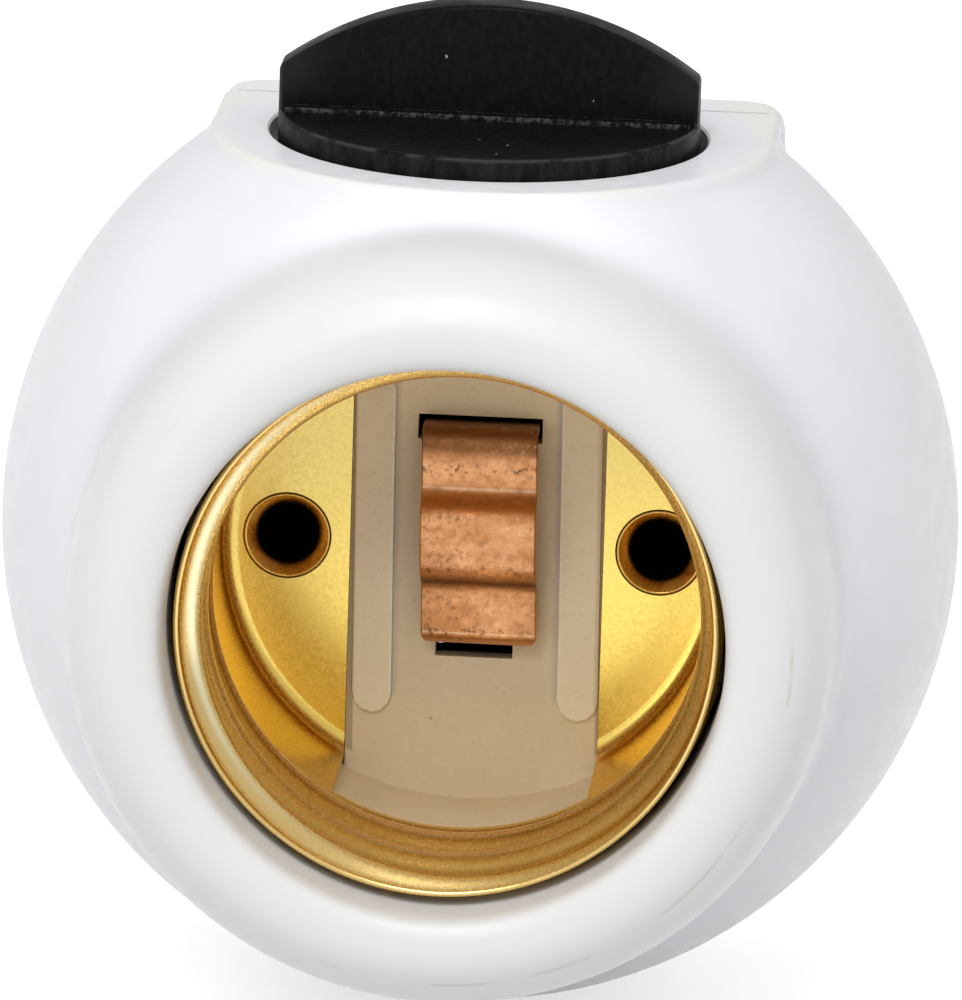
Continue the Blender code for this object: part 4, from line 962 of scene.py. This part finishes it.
def steelFinish():
    f = Finish("plated steel", Metallic=1.0)
    f.feed("Base Color", f.mix(f.fade(f.noise(400, 4), 0.3, 0.7), *platedSteel["tones"]))
    f.feed("Roughness", f.fade(f.noise(900, 3), 0.3, 0.7, 0.28, 0.42))
    f.feed("Normal", f.bump(f.noise(1600, 3), 0.008, 0.5))
    return f.material


finishes = {
    "white_plastic": whiteFinish(),
    "black_plastic": blackFinish(),
    "beige_plastic": beigeFinish(),
    "brass": brassFinish(),
    "copper": copperFinish(),
    "steel": steelFinish(),
}
for row in frame["record"]["subparts"]:
    for materialSlot in frame["nodes"][row["node"]].material_slots:
        materialSlot.material = finishes[row["material_slot"]]
print("finishes on", len(frame["nodes"]), "nodes")

makeFrontShell(finishes["white_plastic"])
makeCore(finishes["beige_plastic"])
makeScrewShell(finishes["brass"])
makeEyelets(finishes["brass"])
makeCentreContact(finishes["copper"])
makeKnob(finishes["black_plastic"])


# Studio

studio = {
    "floorSize": 3000.0,
    "floorGap": 0.05,
    "floorColour": (0.68, 0.68, 0.68, 1.0),
    "floorGlow": 0.62,
    "worldStrength": 0.66,
    "aim": (0, -0.015, 0),  # this and the lamps' places and sizes are in metres
    "lamps": {
        "key": {"place": (-0.05, -0.5, 0.75), "size": 0.4, "power": 2.7},
        "fill": {"place": (-0.55, -0.75, 0.0), "size": 0.4, "power": 0.7},
        "mouth": {"place": (-0.1, -0.8, 0.5), "size": 0.2, "power": 1.1},
    },
}


def makeFloor():  # white where the camera, a reflection or glass looks at it, and plain to all other light
    half = studio["floorSize"] / 2
    low = cadBounds[0][2] / mm - studio["floorGap"]
    corners = [(x, depth, low) for x, depth in rectangle(-half, half, -half, half)]
    floor = addPiece("floor", corners, [(0, 1, 2, 3)])
    f = Finish("pale floor", Roughness=0.9, Base_Color=studio["floorColour"], Emission_Strength=1.0)
    rays = [f.node("LightPath", output=name) for name in ("Is Camera Ray", "Is Glossy Ray", "Is Transmission Ray")]
    seen = rays[0].either(rays[1]).either(rays[2])
    f.feed("Emission Color", f.mix(seen, (0, 0, 0), (studio["floorGlow"],) * 3))
    floor.data.materials.append(f.material)


def makeWorld():  # white behind the object, and a plain even light on it
    world = bpy.data.worlds.new("studio")
    bpy.context.scene.world = world
    sky = Nodes(world)
    background = sky.tree.nodes["Background"]
    background.inputs["Color"].default_value = (1, 1, 1, 1)
    seen = sky.node("LightPath", output="Is Camera Ray")
    strength = sky.node("Mix", inputs={0: seen, 2: studio["worldStrength"], 3: 1.0})
    sky.tree.links.new(strength.socket, background.inputs["Strength"])


def makeLamps():
    for name, lamp in studio["lamps"].items():
        light = bpy.data.lights.new(name, "AREA")
        light.shape = "SQUARE"
        light.size = lamp["size"]
        light.energy = lamp["power"]
        holder = bpy.data.objects.new(name, light)
        bpy.context.scene.collection.objects.link(holder)
        holder.location = lamp["place"]
        aim = Vector(studio["aim"]) - holder.location
        holder.rotation_euler = aim.to_track_quat("-Z", "Y").to_euler()


camera = {
    "azimuth": 3.82,
    "elevation": 14.35,
    "roll": 1.75,
    "distance": 700.0,
    "target": (0.0, -12.2, 1.11),
    "lens": 475.5,
    "sensor": 36,
}


def makeCamera():
    azimuth = math.radians(camera["azimuth"])
    elevation = math.radians(camera["elevation"])
    roll = math.radians(camera["roll"])
    away = Vector((math.sin(azimuth) * math.cos(elevation), -math.cos(azimuth) * math.cos(elevation),
                   math.sin(elevation)))
    right = (-away).cross(Vector((0, 0, 1))).normalized()
    up = right.cross(-away)
    turnedRight = right * math.cos(roll) + up * math.sin(roll)
    turnedUp = up * math.cos(roll) - right * math.sin(roll)
    lens = bpy.data.cameras.new("camera")
    lens.lens = camera["lens"]
    lens.sensor_width = camera["sensor"]
    lens.clip_start = 0.01
    holder = bpy.data.objects.new("camera", lens)
    bpy.context.scene.collection.objects.link(holder)
    place = (Vector(camera["target"]) + away * camera["distance"]) * mm
    axes = Matrix((turnedRight, turnedUp, away)).transposed().to_4x4()
    holder.matrix_world = Matrix.Translation(place) @ axes
    bpy.context.scene.camera = holder


makeFloor()
makeWorld()
makeLamps()
makeCamera()
bpy.context.scene.view_settings.view_transform = "Standard"
print("studio and camera set")
